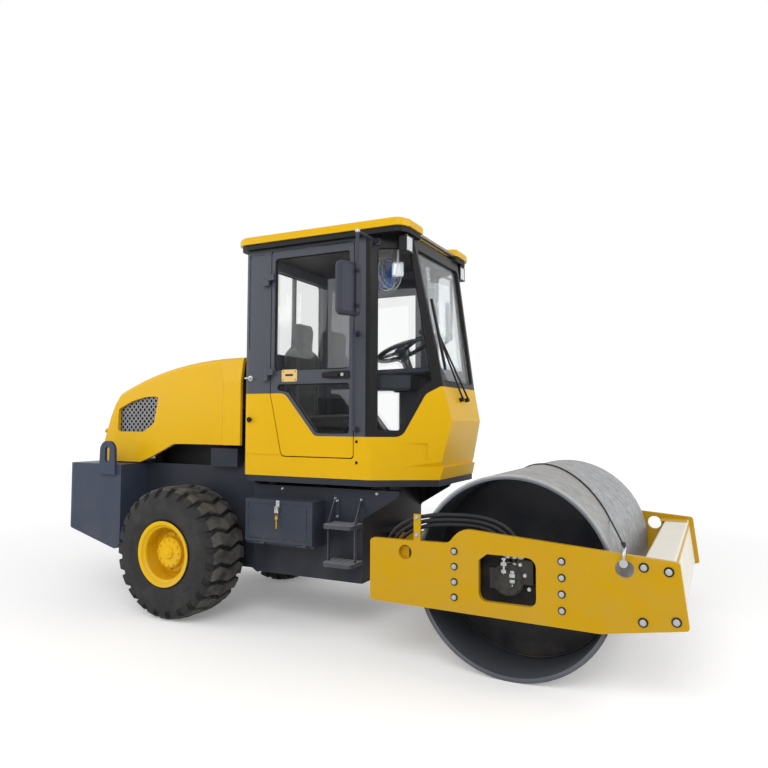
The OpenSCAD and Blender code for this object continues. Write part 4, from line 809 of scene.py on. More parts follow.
def makeMotorCovers(look):
    cover, bright = bmesh.new(), bmesh.new()
    for side in sides.values():
        out = leftwards * side
        at = Vector((drumAxis.x, side * look["face"], drumAxis.z))
        addLathe(cover, at, out, [(look["radius"], 0), (look["radius"], 0.004), (look["radius"] - 0.004, 0.007),
                                  (0.056, 0.007), (0.052, 0.013), (0.03, 0.015)], 40)
        addNutRing(cover, at + out * 0.007, out, look["boltRing"], look["bolts"], 0.014, 0.01)
        for (x0, z0), (x1, z1), half in look["blocks"]:
            inside = -look["blocksIn"] * side
            addBlock(cover, at + Vector((x0, inside - half, z0)), at + Vector((x1, inside + half, z1)))
        for dx, low, high in look["risers"]:
            foot = at + Vector((dx, 0.006 * side, low))
            addRod(bright, foot, foot + upright * (high - low), 0.0085)
            for share, across in ((0.25, 0.03), (0.62, 0.034), (0.9, 0.024)):
                addBolt(bright, foot + upright * (high - low) * share, upright, across)
        for dx, dz in look["ports"]:
            port = at + Vector((dx, 0.0, dz))
            addLathe(bright, port, out, [(0.012, 0), (0.012, 0.008), (0.01, 0.01)], 18)
            addBolt(bright, port + out * 0.008, out, 0.02, tall=0.4)
    finishPiece("motorCovers", cover, "chassisBlack", "front_frame")
    finishPiece("motorPorts", bright, "zincPlate", "front_frame")


beamStrip = {"height": (0.742, 0.769), "front": 3.640, "top": 0.7845, "lean": 0.1265, "half": 0.93, "proud": 0.003}


def makeBeamStrip(look):        # the painted strip along the crossbeam's upper front edge
    bm = bmesh.new()
    spots = [(look["front"] + (look["top"] - z) * look["lean"], z) for z in look["height"]]
    inner = [st(x - 0.001, -look["half"], z) for x, z in spots]
    outer = [st(x + look["proud"], -look["half"], z) for x, z in reversed(spots)]
    addPrism(bm, inner + outer, 2 * look["half"], 0.0008)
    top = look["top"]
    ends = [st(3.446, 0.742, top), st(look["front"] - 0.004, 0.742, top), st(look["front"] - 0.004, look["half"], top),
            st(3.446, look["half"], top)]
    addPrism(bm, ends, 0.0018, 0.0006)        # its far end is painted too
    # the beam strip takes the same darker yellow, painted shade
    finishPiece("beamStrip", bm, "plateYellowInShade", "front_frame")


lashing = {
    "radius": 0.005,
    "lift": 0.006,        # of the line's middle above the drum's face
    "leaves": 32.4,        # degrees round the drum
    "meets": 139.5,
    "side": (-0.495, 0.0065, 0.00007),        # across the drum by degrees past where it leaves
    "shackle": (3.392, -0.953, 0.862),
    "hole": (2.095, 0.922, 0.757),
    "steps": 60,
    "straightFrom": 55,        # degrees past where it leaves
    "loop": ((2.097, 0.920, 0.80), (2.097, 0.922, 0.757), (2.090, 0.940, 0.744), (2.085, 0.966, 0.744),
             (2.082, 0.985, 0.757), (2.082, 0.987, 0.80), (2.088, 0.966, 0.812), (2.092, 0.940, 0.812)),
}


def makeLashing(look):        # a taut wire line from the shackle over the drum to the far tie-down hole
    bm = bmesh.new()
    drumRadius = drumAxis.z + look["lift"]
    path = [st(*look["shackle"])]
    start, slope, bend = look["side"]
    for k in range(look["steps"] + 1):
        past = (look["meets"] - look["leaves"]) * k / look["steps"]
        a = math.radians(look["leaves"] + past)
        curved = min(past, look["straightFrom"])
        across = start + slope * past + bend * curved * (2 * past - curved)
        path.append(onCircle(Vector((drumAxis.x, across, drumAxis.z)), (ahead, upright), drumRadius, a))
    path.append(st(*look["hole"]))
    addTube(bm, path, look["radius"], 8)
    addRing(bm, st(*look["shackle"]) + upright * 0.004, ahead, 0.0165, look["radius"], 28, 8)
    addFerrule(bm, path[0].lerp(path[1], 0.06), path[1] - path[0], 0.0095, 0.037)
    addTube(bm, [st(*point) for point in look["loop"]], look["radius"], 8, True)
    addFerrule(bm, st(2.098, 0.919, 0.766), Vector((0.55, -0.12, 0.83)), 0.0105, 0.033)
    finishPiece("lashingLine", bm, "ropeDark", "front_frame", smooth=60)


drumSeams = {"radius": 0.5765, "face": 0.4985, "bead": 0.0085, "points": 360}


def makeDrumSeams(look):        # rippled weld beads where the discs meet the shell
    bm = bmesh.new()
    for side in sides.values():
        middle = Vector((drumAxis.x, side * look["face"], drumAxis.z))
        path = []
        for a in turns(look["points"]):
            r = look["radius"] + 0.0007 * math.sin(a * 90) + 0.0006 * math.sin(a * 17)
            path.append(onCircle(middle, (ahead, upright), r, a))
        addTube(bm, path, look["bead"], 8, True)
    finishPiece("drumSeams", bm, "drumInside", "drum", smooth=60)


makeHoseEnds(hoseEnds)
makeMotorCovers(motorCover)
makeBeamStrip(beamStrip)
makeLashing(lashing)
makeDrumSeams(drumSeams)
print("front frame fitted")

# Wheel bolts, caps and valves

hubParts = {
    "face": 0.13,        # of the hub, outside the tyre's middle
    "ring": 0.1,
    "count": 12,
    "across": 0.015,
    "step": 0.08,
    "stepRing": 0.139,
    "stepCount": 10,
    "stepAcross": 0.018,
    "cap": 0.046,
    "valveTurn": 0.7,
    "valveAt": (0.118, 0.196),        # outside the tyre's middle, and from the axle
}


def makeHubParts(look):
    for word, side in sides.items():
        bm, valve = bmesh.new(), bmesh.new()
        out = leftwards * side
        low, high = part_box("tyre_" + word)
        middle = Vector((axle.x, (low.y + high.y) / 2, axle.z))
        addNutRing(bm, middle + out * look["face"], out, look["ring"], look["count"], look["across"], 0.0105)
        addNutRing(bm, middle + out * look["step"], out, look["stepRing"], look["stepCount"], look["stepAcross"], 0.013,
                   0.2)
        cap = look["cap"]
        addLathe(bm, middle + out * look["face"], out, [(cap, 0), (cap, 0.008), (cap - 0.005, 0.013), (0.02, 0.015),
                                                       (0.018, 0.019), (0.012, 0.021)], 36)
        addBolt(bm, middle + out * (look["face"] + 0.013) + ahead * 0.034, out, 0.014)
        finishPiece("hubBolts." + word, bm, "rimYellow", "wheel_" + word)
        a = look["valveTurn"]
        way = math.cos(a) * ahead + math.sin(a) * upright
        aside, radius = look["valveAt"]
        addLathe(valve, middle + out * aside + radius * way, out - way * 0.5,
                 [(0.006, -0.012), (0.006, 0.0), (0.0045, 0.004), (0.0045, 0.024), (0.0058, 0.026), (0.0058, 0.034),
                  (0.004, 0.036)], 14)
        finishPiece("valve." + word, valve, "zincPlate", "wheel_" + word)


makeHubParts(hubParts)
print("wheels bolted")

# Window seals

seals = {
    "door_glass": {"towards": (0, -1, 0), "body": "cab_door"},
    "left_glass": {"towards": (0, 1, 0), "body": "chassis"},
    "rear_glass": {"towards": (-1, 0, 0), "body": "chassis"},
    "windscreen": {"towards": screenOut, "body": "chassis"},
    "quarter_glass": {"towards": (cornerOut[0], -cornerOut[1], 0), "body": "chassis"},
    "quarter_glass.left": {"towards": (*cornerOut, 0), "body": "chassis"},
}
sealRadius = 0.0085
divider = {"aside": 0.04, "width": 0.03, "low": 2.097, "high": 2.796, "thick": 0.012}


def makeSeals(looks):
    for name, look in looks.items():
        bm = bmesh.new()
        lift = Vector(look["towards"]).normalized() * 0.002
        for loop in rimLoops(name.split(".")[0], look["towards"]):
            addTube(bm, [point + lift for point in evenLoop(loop, 0.03)], sealRadius, 8, True)
        finishPiece("seal." + name, bm, "sealRubber", look["body"], smooth=60)


def makeDivider(look):        # the bar between the two halves of the rear window
    bm = bmesh.new()
    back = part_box("rear_glass")[0].x
    for x, depth in ((back - look["thick"], look["thick"]), (back + 0.006, look["thick"])):
        addBlock(bm, (x, look["aside"] - look["width"] / 2, look["low"]),
                 (x + depth, look["aside"] + look["width"] / 2, look["high"]))
    finishPiece("rearDivider", bm, "trimBlack")


makeSeals(seals)
makeDivider(divider)
print("windows sealed")

# Door and cab fittings

lockPlate = {"at": (0.949, 1.886), "size": (0.14, 0.092), "thick": 0.005, "slot": (0.07, 0.014),
             "screws": (0.055, 0.032)}
doorLock = {"at": (1.416, 1.882), "radius": 0.013}
latch = {"at": (0.582, 1.873), "reach": 0.034, "bar": 0.058}
knob = {"at": (0.588, 1.551), "radius": 0.02}
pillarBolts = ((1.532, 1.395), (1.532, 1.245))
mountBolts = {"stations": (0.844, 1.659), "side": 0.54, "height": 1.022}
railFeet = {"station": 1.536, "heights": (1.48, 2.172), "apart": 0.015, "proud": 0.008}


def makeDoorFittings():
    right, up, out = ahead, upright, -leftwards
    plate, slot, bright = bmesh.new(), bmesh.new(), bmesh.new()
    at = st(lockPlate["at"][0], -cabSide, lockPlate["at"][1])
    addSlab(plate, at, right, up, lockPlate["size"], lockPlate["thick"], 0.012)
    addSlab(slot, at + out * lockPlate["thick"] + up * 0.004, right, up, lockPlate["slot"], 0.004, 0.006)
    for dx, dz in fourWays(*lockPlate["screws"]):
        addLathe(slot, at + right * dx + up * dz + out * lockPlate["thick"], out,
                 [(0.005, 0), (0.005, 0.001), (0.003, 0.0025)], 14)
    spot = st(doorLock["at"][0], -cabSide - 0.009, doorLock["at"][1])
    r = doorLock["radius"]
    addLathe(bright, spot, out, [(r, 0), (r, 0.006), (r - 0.002, 0.008), (r * 0.6, 0.0085), (r * 0.55, 0.007)], 24)
    addSlab(bright, spot + out * 0.007, right, up, (0.003, 0.011), 0.002, 0.001, 0.0004)
    finishPiece("lockPlate", plate, "lockBeige", "cab_door")
    finishPiece("lockSlot", slot, "trimBlack", "cab_door")
    finishPiece("doorLock", bright, "zincPlate", "cab_door")


def makeCabFittings():
    bright, dark = bmesh.new(), bmesh.new()
    out = -leftwards
    spot = st(latch["at"][0], -cabSide, latch["at"][1])
    addLathe(bright, spot, out,
             [(0.022, 0), (0.022, 0.003), (0.019, 0.005), (0.009, 0.007), (0.008, latch["reach"])], 24)
    tip, half = spot + out * latch["reach"], ahead * latch["bar"] / 2
    addRod(bright, tip - half, tip + half, 0.007)
    r = knob["radius"]
    addLathe(dark, st(knob["at"][0], -cabSide, knob["at"][1]), out,
             [(r * 0.6, 0), (r * 0.55, 0.012), (r, 0.018), (r, 0.026), (r * 0.75, 0.032), (r * 0.3, 0.033)], 24)
    for x, z in pillarBolts:
        addBolt(dark, st(x, -cabSide, z), out, 0.014, 0.011)
    for x in mountBolts["stations"]:        # on the frame's side
        for side in (-1, 1):
            addBolt(bright, st(x, side * mountBolts["side"], mountBolts["height"]), leftwards * side, 0.016, 0.011)
    for z in railFeet["heights"]:
        for dz in (-railFeet["apart"], railFeet["apart"]):
            addBolt(dark, st(railFeet["station"], -cabSide - railFeet["proud"], z + dz), out, 0.009, 0.006)
    finishPiece("cabLatch", bright, "zincPlate")
    finishPiece("cabKnob", dark, "trimBlack")


mirrorHeads = {
    "at": (1.632, -0.925, 2.445),
    "turn": -26.0,
    "glass": (0.178, 0.35),
    "back": 0.0225,
    "clamps": (-0.12, 0.12),
    "tube": (0.037, 0.045),        # ahead of and beside the head's middle
    "ballAt": 2.842,
    "ball": 0.0175,
}


def makeMirrorHeads(look):
    glass, clamp, ball = bmesh.new(), bmesh.new(), bmesh.new()
    a = math.radians(look["turn"])
    for side in sides.values():
        def place(along, aside, up):        # in the mirror's own frame
            x = along * math.cos(a) - aside * math.sin(a)
            y = along * math.sin(a) + aside * math.cos(a)
            return st(look["at"][0] + x, -side * (look["at"][1] + y), look["at"][2] + up)
        middle = place(-look["back"], 0, 0)
        addSlab(glass, middle, place(-look["back"], 1, 0) - middle, upright * -side, look["glass"], 0.002, 0.034,
                0.0006)
        for up in look["clamps"]:
            hold = place(*look["tube"], up)
            addLathe(clamp, hold - upright * 0.014, upright,
                     [(0.0138, 0), (0.015, 0.002), (0.015, 0.026), (0.0138, 0.028)], 20)
            addBolt(clamp, hold + leftwards * side * 0.014, leftwards * side, 0.012, 0.008)
        tip = place(*look["tube"], 0)
        addBall(ball, Vector((tip.x, tip.y, look["ballAt"])), look["ball"])
    finishPiece("mirrorGlass", glass, "silvered")
    finishPiece("mirrorClamps", clamp, "trimBlack")
    finishPiece("mirrorBalls", ball, "zincPlate")


lampParts = {"face": 1.9132, "inner": 0.602, "outer": 0.506, "low": 2.756, "high": 2.858, "deep": 0.0062,
             "screws": (0.051, 0.054), "screwFace": 1.92}


def makeLampParts(look):
    lens, screws = bmesh.new(), bmesh.new()
    wide, tall = look["inner"] - look["outer"] - 0.002, look["high"] - look["low"] - 0.002
    for side in sides.values():
        at = st(look["face"], side * (look["inner"] + look["outer"]) / 2, (look["low"] + look["high"]) / 2)
        addSlab(lens, at, leftwards, upright, (wide, tall), look["deep"], 0.008, 0.002)
        for dy, dz in fourWays(*look["screws"]):
            addLathe(screws, st(look["screwFace"], at.y + dy, at.z + dz), ahead,
                     [(0.0034, 0), (0.0034, 0.001), (0.002, 0.002)], 12)
    finishPiece("lampLenses", lens, "lampLens")
    finishPiece("lampScrews", screws, "zincPlate")


roofParts = {"tray": (1.872, 1.925), "half": 0.345, "height": 2.924, "wires": 26, "wire": 0.0022,
             "stub": (1.02, -0.42)}


def makeRoofParts(look):        # the wire tray in the roof's front notch, and a short aerial
    wire, stub = bmesh.new(), bmesh.new()
    back, front = look["tray"]
    for x in (back, (back + front) / 2, front):
        addRod(wire, st(x, -look["half"], look["height"]), st(x, look["half"], look["height"]), look["wire"] * 1.3, 8)
    for k in range(look["wires"] + 1):
        y = -look["half"] + 2 * look["half"] * k / look["wires"]
        addRod(wire, st(back - 0.012, y, look["height"]), st(front, y, look["height"]), look["wire"], 8)
    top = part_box("roof_cap")[1].z
    spot = st(look["stub"][0], look["stub"][1], top - 0.002)
    addLathe(stub, spot, upright,
             [(0.022, 0), (0.021, 0.006), (0.01, 0.012), (0.006, 0.016), (0.005, 0.05), (0.003, 0.054)], 20)
    finishPiece("roofTray", wire, "zincPlate")
    finishPiece("roofAerial", stub, "trimBlack")


roofSkin = {"inset": 0.0015, "thick": 0.0015}


def makeRoofSkin(look):        # the pressed panel on the roof's level top
    bm = bmesh.new()
    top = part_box("roof_cap")[1].z
    loop = max(rimLoops("roof_cap", upright, top), key=len)

    def drawnIn(by, rise):
        ring = []
        for i, spot in enumerate(loop):
            came = (spot - loop[i - 1]).normalized()
            goes = (loop[(i + 1) % len(loop)] - spot).normalized()
            inward = upright.cross((came + goes).normalized())
            ring.append(bm.verts.new(spot + inward * by + upright * rise))
        return ring
    rings = [drawnIn(look["inset"], -0.0005), drawnIn(look["inset"], look["thick"] * 0.5),
             drawnIn(look["inset"] + look["thick"], look["thick"])]
    for lower, upper in zip(rings, rings[1:]):
        bridge(bm, lower, upper)
    bm.faces.new(rings[-1])
    finishPiece("roofSkin", bm, "cabYellow", smooth=12)


makeDoorFittings()
makeCabFittings()
makeMirrorHeads(mirrorHeads)
makeLampParts(lampParts)
makeRoofParts(roofParts)
makeRoofSkin(roofSkin)
print("cab fitted")

# Steps, toolbox, eyes and bonnet

stepBolts = {"bracket": (1.335, (0.842, 0.956)), "bars": ((1.317, 0.974), (1.535, 0.974)), "face": 0.54}
padlock = {"at": 0.9285, "face": 0.7445, "bow": 0.011, "bowAt": 0.9, "keyAt": 0.86, "doorFace": 0.726}


def makeStepBolts(look):
    bm, strap = bmesh.new(), bmesh.new()
    out = -leftwards
    x, heights = look["bracket"]
    addSlab(strap, st(x, -look["face"], sum(heights) / 2), ahead, upright, (0.03, 0.146), 0.006, 0.008)
    for z in heights:
        addBolt(bm, st(x, -look["face"] - 0.006, z), out, 0.015, 0.0105)
    for x, z in look["bars"]:
        addSlab(strap, st(x, -look["face"], z), ahead, upright, (0.03, 0.034), 0.005, 0.006)
        addBolt(bm, st(x, -look["face"] - 0.005, z), out, 0.013, 0.009)
    finishPiece("stepBolts", bm, "zincPlate")
    finishPiece("stepBracket", strap, "boxSlate")


def makePadlock(look):
    bright, brass = bmesh.new(), bmesh.new()
    x, y, wide, top = look["at"], -look["face"], look["bow"], look["bowAt"]
    arch = [math.pi * k / 12 for k in range(13)]
    path = [st(x + wide * math.cos(a), y - 0.002, top + 0.012 * math.sin(a)) for a in arch]
    feet = [st(x + across, y - 0.002, top - 0.016) for across in (wide, -wide)]
    addTube(bright, feet[:1] + path + feet[1:], 0.0032, 10)
    for dz in (0.007, 0.039):
        addBolt(bright, st(x, -look["doorFace"], top + dz), -leftwards, 0.01, 0.008)
    key = st(x + 0.002, y, look["keyAt"])
    addRing(brass, key - upright * 0.006, leftwards, 0.012, 0.0013, 28, 6)
    addSlab(brass, key - upright * 0.034 + leftwards * 0.001, ahead, upright, (0.024, 0.026), 0.0026, 0.008, 0.0006)
    addSlab(brass, key - upright * 0.078 + leftwards * 0.001, ahead, upright, (0.0085, 0.068), 0.0024, 0.002, 0.0006)
    for k in range(4):
        addSlab(brass, key - upright * (0.066 + 0.01 * k) + ahead * 0.005 + leftwards * 0.001, ahead, upright,
                (0.006, 0.005), 0.0024, 0.001, 0.0004)
    finishPiece("padlockBow", bright, "zincPlate", "toolbox_lid")
    finishPiece("padlockKey", brass, "keyBrass", "toolbox_lid")


eyeWelds = {"station": -0.785, "half": 0.094, "low": 1.085, "top": 1.17, "bead": 0.007}


def makeEyeWelds(look):        # fillet welds round the lifting eyes' feet
    bm = bmesh.new()
    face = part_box("counterweight")[1].y + 0.001
    for side in sides.values():
        corners = [(-look["half"], look["top"]), (-look["half"], look["low"]), (look["half"], look["low"]),
                   (look["half"], look["top"])]
        path = []
        for (x0, z0), (x1, z1) in zip(corners, corners[1:]):
            steps = max(2, round(math.hypot(x1 - x0, z1 - z0) / 0.006))
            for k in range(steps):
                t = k / steps
                wob = 0.0008 * math.sin(len(path) * 1.7)
                path.append(st(look["station"] + x0 + (x1 - x0) * t + wob, side * face, z0 + (z1 - z0) * t + wob))
        addTube(bm, path, look["bead"], 8)
    finishPiece("eyeWelds", bm, "weightSlate", smooth=60)


cabGasket = {"half": ((0.53, 1.2), (0.53, 1.9), (0.51, 1.955), (0.46, 1.972)), "radius": 0.009}


def makeCabGasket(look):        # the rubber strip between the bonnet's front edge and the cab's back wall
    bm = bmesh.new()
    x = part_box("bulkhead")[1].x + 0.004
    path = bothHalves(look["half"], lambda side, y, z: Vector((x, side * y, z)))
    addTube(bm, path, look["radius"], 10)
    finishPiece("cabGasket", bm, "sealRubber", smooth=60)


coolerCore = {"station": (-0.62, -0.54), "half": 0.4, "low": 1.09, "high": 1.52, "fins": 22, "tank": 0.05}


def makeCoolerCore(look):        # the finned cooler behind the bonnet's tail, seen through its gaps
    bm = bmesh.new()
    back, front = look["station"]
    half, low, high, tank = look["half"], look["low"], look["high"], look["tank"]
    for z in (low, high - tank):
        addBlock(bm, st(back, -half, z), st(front, half, z + tank), 0.008)
    for y in (-half, half - 0.02):
        addBlock(bm, st(back, y, low + tank), st(front, y + 0.02, high - tank), 0.003)
    for k in range(look["fins"]):
        z = low + tank + (high - low - 2 * tank) * (k + 0.5) / look["fins"]
        addBlock(bm, st(back + 0.012, -half + 0.018, z - 0.006), st(front - 0.012, half - 0.018, z + 0.006), 0.001)
    addBlock(bm, st(front - 0.03, -half + 0.01, low + 0.02), st(front - 0.022, half - 0.01, high - 0.02), 0.001)
    finishPiece("coolerCore", bm, "chassisBlack")


makeCoolerCore(coolerCore)
makeStepBolts(stepBolts)
makePadlock(padlock)
makeEyeWelds(eyeWelds)
makeCabGasket(cabGasket)
print("frame fitted")

# Cab interior

dashParts = {
    "pad": ((1.6, 0.53), (1.66, 0.53), (1.9, 0.385), (2.02, 0.312)),        # half of its plan
    "padFoot": 1.872,
    "rise": 0.075,
    "thick": 0.04,
    "wing": ((1.612, 0.53), (1.66, 0.53), (1.86, 0.408), (1.86, 0.225), (1.612, 0.225)),
    "wingLow": 1.772,
    "wingTall": 0.11,
    "legs": ((1.705, 0.148, 1.128), (1.9, 0.27, 1.766)),        # low and high corner
    "sill": ((1.99, -0.3, 1.8), (2.012, 0.3, 1.9)),
    "gauges": (-0.13, -0.03, 0.07),
    "gaugeAt": (1.63, 1.83),
    "gaugeOut": (-0.977, 0, -0.21),
    "keys": 6,
    "keyAt": (1.6115, -0.46, 1.835),
    "keyPitch": 0.035,
}


def makeDash(look):        # the dash reaches both walls and the windscreen's foot
    body, dials = bmesh.new(), bmesh.new()
    back = look["pad"][0][0]

    def padSpot(side, x, y):
        return st(x, side * y, look["padFoot"] + (x - back) * look["rise"])
    addPrism(body, bothHalves(look["pad"], padSpot), look["thick"], 0.012)
    for side in sides.values():
        plan = [st(x, side * y, look["wingLow"]) for x, y in look["wing"]]
        addPrism(body, plan if side < 0 else plan[::-1], look["wingTall"], 0.012)
        (x0, y0, z0), (x1, y1, z1) = look["legs"]
        low, high = sorted((side * y0, side * y1))
        addBlock(body, st(x0, low, z0), st(x1, high, z1), 0.014)
    low, high = look["sill"]
    addBlock(body, st(*low), st(*high), 0.006)
    x, z = look["gaugeAt"]
    for y in look["gauges"]:
        addLathe(dials, st(x, y, z), Vector(look["gaugeOut"]),
                 [(0.034, -0.01), (0.036, 0.004), (0.034, 0.012), (0.031, 0.013), (0.03, 0.008), (0.004, 0.008)], 32)
    for k in range(look["keys"]):
        spot = st(*look["keyAt"]) + leftwards * look["keyPitch"] * k
        addSlab(dials, spot, -leftwards, upright, (0.022, 0.032), 0.007, 0.003, 0.001)
    finishPiece("dashBody", body, "cabinPlastic")
    finishPiece("dashDials", dials, "trimBlack")


wheelParts = {"head": (1.612, 0.0, 2.085), "axis": (-0.363, 0, 0.932), "radius": 0.2, "grip": 0.0185, "knobTurn": 190,
              "stalk": (1.648, -0.03, 1.99), "stalkReach": (-0.03, -0.15, 0.04)}


def makeWheelParts(look):
    bm, cap = bmesh.new(), bmesh.new()
    axis = Vector(look["axis"]).normalized()
    head = st(*look["head"])
    centre = head + axis * 0.02
    back = leftwards.cross(axis).normalized()
    ripple = [(look["radius"] + 0.0012 * math.cos(a * 24), a) for a in turns(96)]
    addTube(bm, [onCircle(centre, (back, leftwards), r, a) for r, a in ripple], look["grip"], 12, True)
    for degrees in (90, 210, 330):
        a = math.radians(degrees)
        way = math.cos(a) * -back + math.sin(a) * leftwards
        addRod(bm, head + axis * 0.016 + way * 0.05, centre + way * (look["radius"] - 0.01), 0.014)
    addLathe(bm, head + axis * 0.03, axis, [(0.06, -0.028), (0.062, 0), (0.058, 0.01), (0.034, 0.018), (0.012, 0.019)],
             32)
    a = math.radians(look["knobTurn"])
    spot = onCircle(centre, (-back, leftwards), look["radius"], a) + axis * 0.015
    addRod(cap, spot, spot + axis * 0.03, 0.008)
    addBall(cap, spot + axis * 0.042, 0.021)
    stalk = st(*look["stalk"])
    tip = stalk + Vector(look["stalkReach"])
    addRod(cap, stalk, tip, 0.006)
    addBall(cap, tip, 0.012)
    finishPiece("wheelGrip", bm, "cabinPlastic")
    finishPiece("wheelKnob", cap, "trimBlack")


cabFan = {"at": (1.615, -0.3, 2.67), "axis": (-0.95, 0.31, -0.04), "radius": 0.125}


def addSheet(bm, rows, lift):        # a thin curved sheet with two faces and an edge
    layers = []
    for sign in (-0.5, 0.5):
        layers.append([[bm.verts.new(point + lift * sign) for point in row] for row in rows])
    tall, wide = len(rows), len(rows[0])
    for layer in layers:
        for i in range(tall - 1):
            for j in range(wide - 1):
                bm.faces.new((layer[i][j], layer[i][j + 1], layer[i + 1][j + 1], layer[i + 1][j]))
    edge = [(0, j) for j in range(wide)] + [(i, wide - 1) for i in range(1, tall)]
    edge += [(tall - 1, j) for j in range(wide - 2, -1, -1)] + [(i, 0) for i in range(tall - 2, 0, -1)]
    for (i, j), (m, n) in zip(edge, edge[1:] + edge[:1]):
        bm.faces.new((layers[0][i][j], layers[0][m][n], layers[1][m][n], layers[1][i][j]))


def makeCabFan(look):
    blades, cage = bmesh.new(), bmesh.new()
    axis = Vector(look["axis"]).normalized()
    axes = crossAxes(axis)
    middle, r = st(*look["at"]), look["radius"]

    def spoke(radius, degrees, along):
        return onCircle(middle + axis * along, axes, radius, math.radians(degrees))
    for along in (-0.028, 0.028):
        addRing(cage, middle + axis * along, axis, r, 0.0035, 48, 8)
    for radius, along in ((0.095, 0.04), (0.062, 0.046), (0.03, 0.048), (0.095, -0.038)):
        addRing(cage, middle + axis * along, axis, radius, 0.0022, 40, 6)
    wire = ((0.03, 0.048), (0.062, 0.046), (0.095, 0.04), (r, 0.028), (r, -0.028), (0.095, -0.038), (0.04, -0.042))
    for k in range(16):
        addTube(cage, [spoke(radius, 22.5 * k, along) for radius, along in wire], 0.0017, 6)
    for k in range(4):
        rows = []
        for i in range(7):
            radius, lead = 0.024 + (0.108 - 0.024) * i / 6, 90 * k + 12 * i / 6
            rows.append([spoke(radius, lead + 66 * (j / 6 - 0.5), 0.016 * (j / 3 - 1)) for j in range(7)])
        addSheet(blades, rows, axis * 0.002)
    addLathe(blades, middle, axis, [(0.026, -0.016), (0.028, 0), (0.026, 0.016), (0.012, 0.024)], 28)
    addLathe(blades, middle - axis * 0.11, axis,
             [(0.02, 0), (0.036, 0.006), (0.042, 0.02), (0.042, 0.06), (0.03, 0.07), (0.012, 0.09)], 28)
    hold = middle - axis * 0.075
    top = Vector((hold.x, hold.y, cabCeiling))
    addRod(cage, hold, top - upright * 0.006, 0.009)
    addLathe(cage, top, -upright, [(0.036, 0), (0.036, 0.005), (0.014, 0.012)], 24)
    finishPiece("fanBlades", blades, "fanBlue")
    finishPiece("fanCage", cage, "zincPlate")


cabLamp = {"at": (1.753, -0.4, 2.671), "towards": (0.42, -0.9, -0.1), "size": (0.086, 0.106), "deep": 0.034}


def makeCabLamp(look):
    shell, lens = bmesh.new(), bmesh.new()
    out = Vector(look["towards"]).normalized()
    right = upright.cross(out).normalized()
    up = out.cross(right)
    at = st(*look["at"])
    wide, tall = look["size"]
    addSlab(shell, at - out * look["deep"], right, up, (wide, tall), look["deep"], 0.014, 0.004)
    addSlab(lens, at, right, up, (wide - 0.014, tall - 0.014), 0.004, 0.008, 0.0015)
    hold = at - out * look["deep"] / 2 + up * tall / 2
    top = Vector((hold.x, hold.y, cabCeiling))
    addRod(shell, hold, top - upright * 0.002, 0.008)
    addLathe(shell, top, -upright, [(0.026, 0), (0.026, 0.004), (0.012, 0.009)], 20)
    finishPiece("cabLampShell", shell, "panelWhite")
    finishPiece("cabLampLens", lens, "lampLens")


cabTrim = {
    "visor": (1.255, 0.57, 2.735),
    "visorSize": (0.54, 0.15),
    "wiper": ((2.0954, -0.312, 1.917), (2.0057, -0.366, 2.436)),        # the blade's foot and tip
    "pedals": (-0.11, 0.11),
    "pedalAt": (1.672, 1.172),
    "pedalFoot": (1.708, 1.128),
}


def makeCabTrim(look):        # a sun blind on the far side, the wiper's blade frame and floor pedals
    blind, blade, pedals = bmesh.new(), bmesh.new(), bmesh.new()
    addSlab(blind, st(*look["visor"]), ahead, upright, look["visorSize"], 0.01, 0.02)
    out = Vector(screenOut)
    foot, tip = (st(*spot) - out * 0.003 for spot in look["wiper"])
    along = (tip - foot).normalized()
    aside = out.cross(along)
    middle = foot.lerp(tip, 0.55)
    addPrism(blade, [foot - aside * 0.008, middle - aside * 0.016, tip - aside * 0.012, tip + aside * 0.012,
                     middle + aside * 0.016, foot + aside * 0.008], 0.014, 0.003)
    for y in look["pedals"]:
        plate, foot = (st(x, y, z) for x, z in (look["pedalAt"], look["pedalFoot"]))
        addSlab(pedals, plate, leftwards, Vector((0.5, 0, 0.87)), (0.07, 0.1), 0.012, 0.012)
        addRod(pedals, plate + Vector((0.006, 0, -0.02)), foot, 0.009)
    finishPiece("sideBlind", blind, "cabinPlastic")
    finishPiece("wiperFrame", blade, "trimBlack")
    finishPiece("pedals", pedals, "trimBlack")


makeDash(dashParts)
makeWheelParts(wheelParts)
makeCabFan(cabFan)
makeCabLamp(cabLamp)
makeCabTrim(cabTrim)
print("cab interior made")

# Seat pads, swollen as cloth

seatPads = {
    "seat_cushion": {
        "name": "seatCushionPad",
        "outline": ((0.728, 1.4915), (1.203, 1.4915), (1.211, 1.586), (0.728, 1.57)),        # station and height
        "half": 0.232,
        "grooves": ((1, -0.125), (1, 0.125), (0, 0.96)),        # axis and place of each sewn channel
    },
    "seat_back": {
        "name": "seatBackPad",
        "outline": ((0.213, 1.513), (0.233, 2.06), (0.215, 2.112), (0.124, 2.172), (0.112, 2.36),
                    (0.085, 2.378)),        # half width and height
        "reach": (0.6045, 0.702),
        "grooves": ((1, -0.13), (1, 0.13), (2, 2.15), (2, 1.8)),
    },
}
padVoxel = 0.008
padPressure = 4.0
padSwell = 0.011        # at most
padGroove = {"width": 0.009, "depth": 0.006}


def evenMesh(mesh):        # the same form in even small faces
    holder = addObject("padForm", mesh)
    remesh = holder.modifiers.new("even", "REMESH")
    remesh.mode = "VOXEL"
    remesh.voxel_size = padVoxel
    made = bpy.data.meshes.new_from_object(holder.evaluated_get(bpy.context.evaluated_depsgraph_get()))
    bpy.data.objects.remove(holder)
    return made


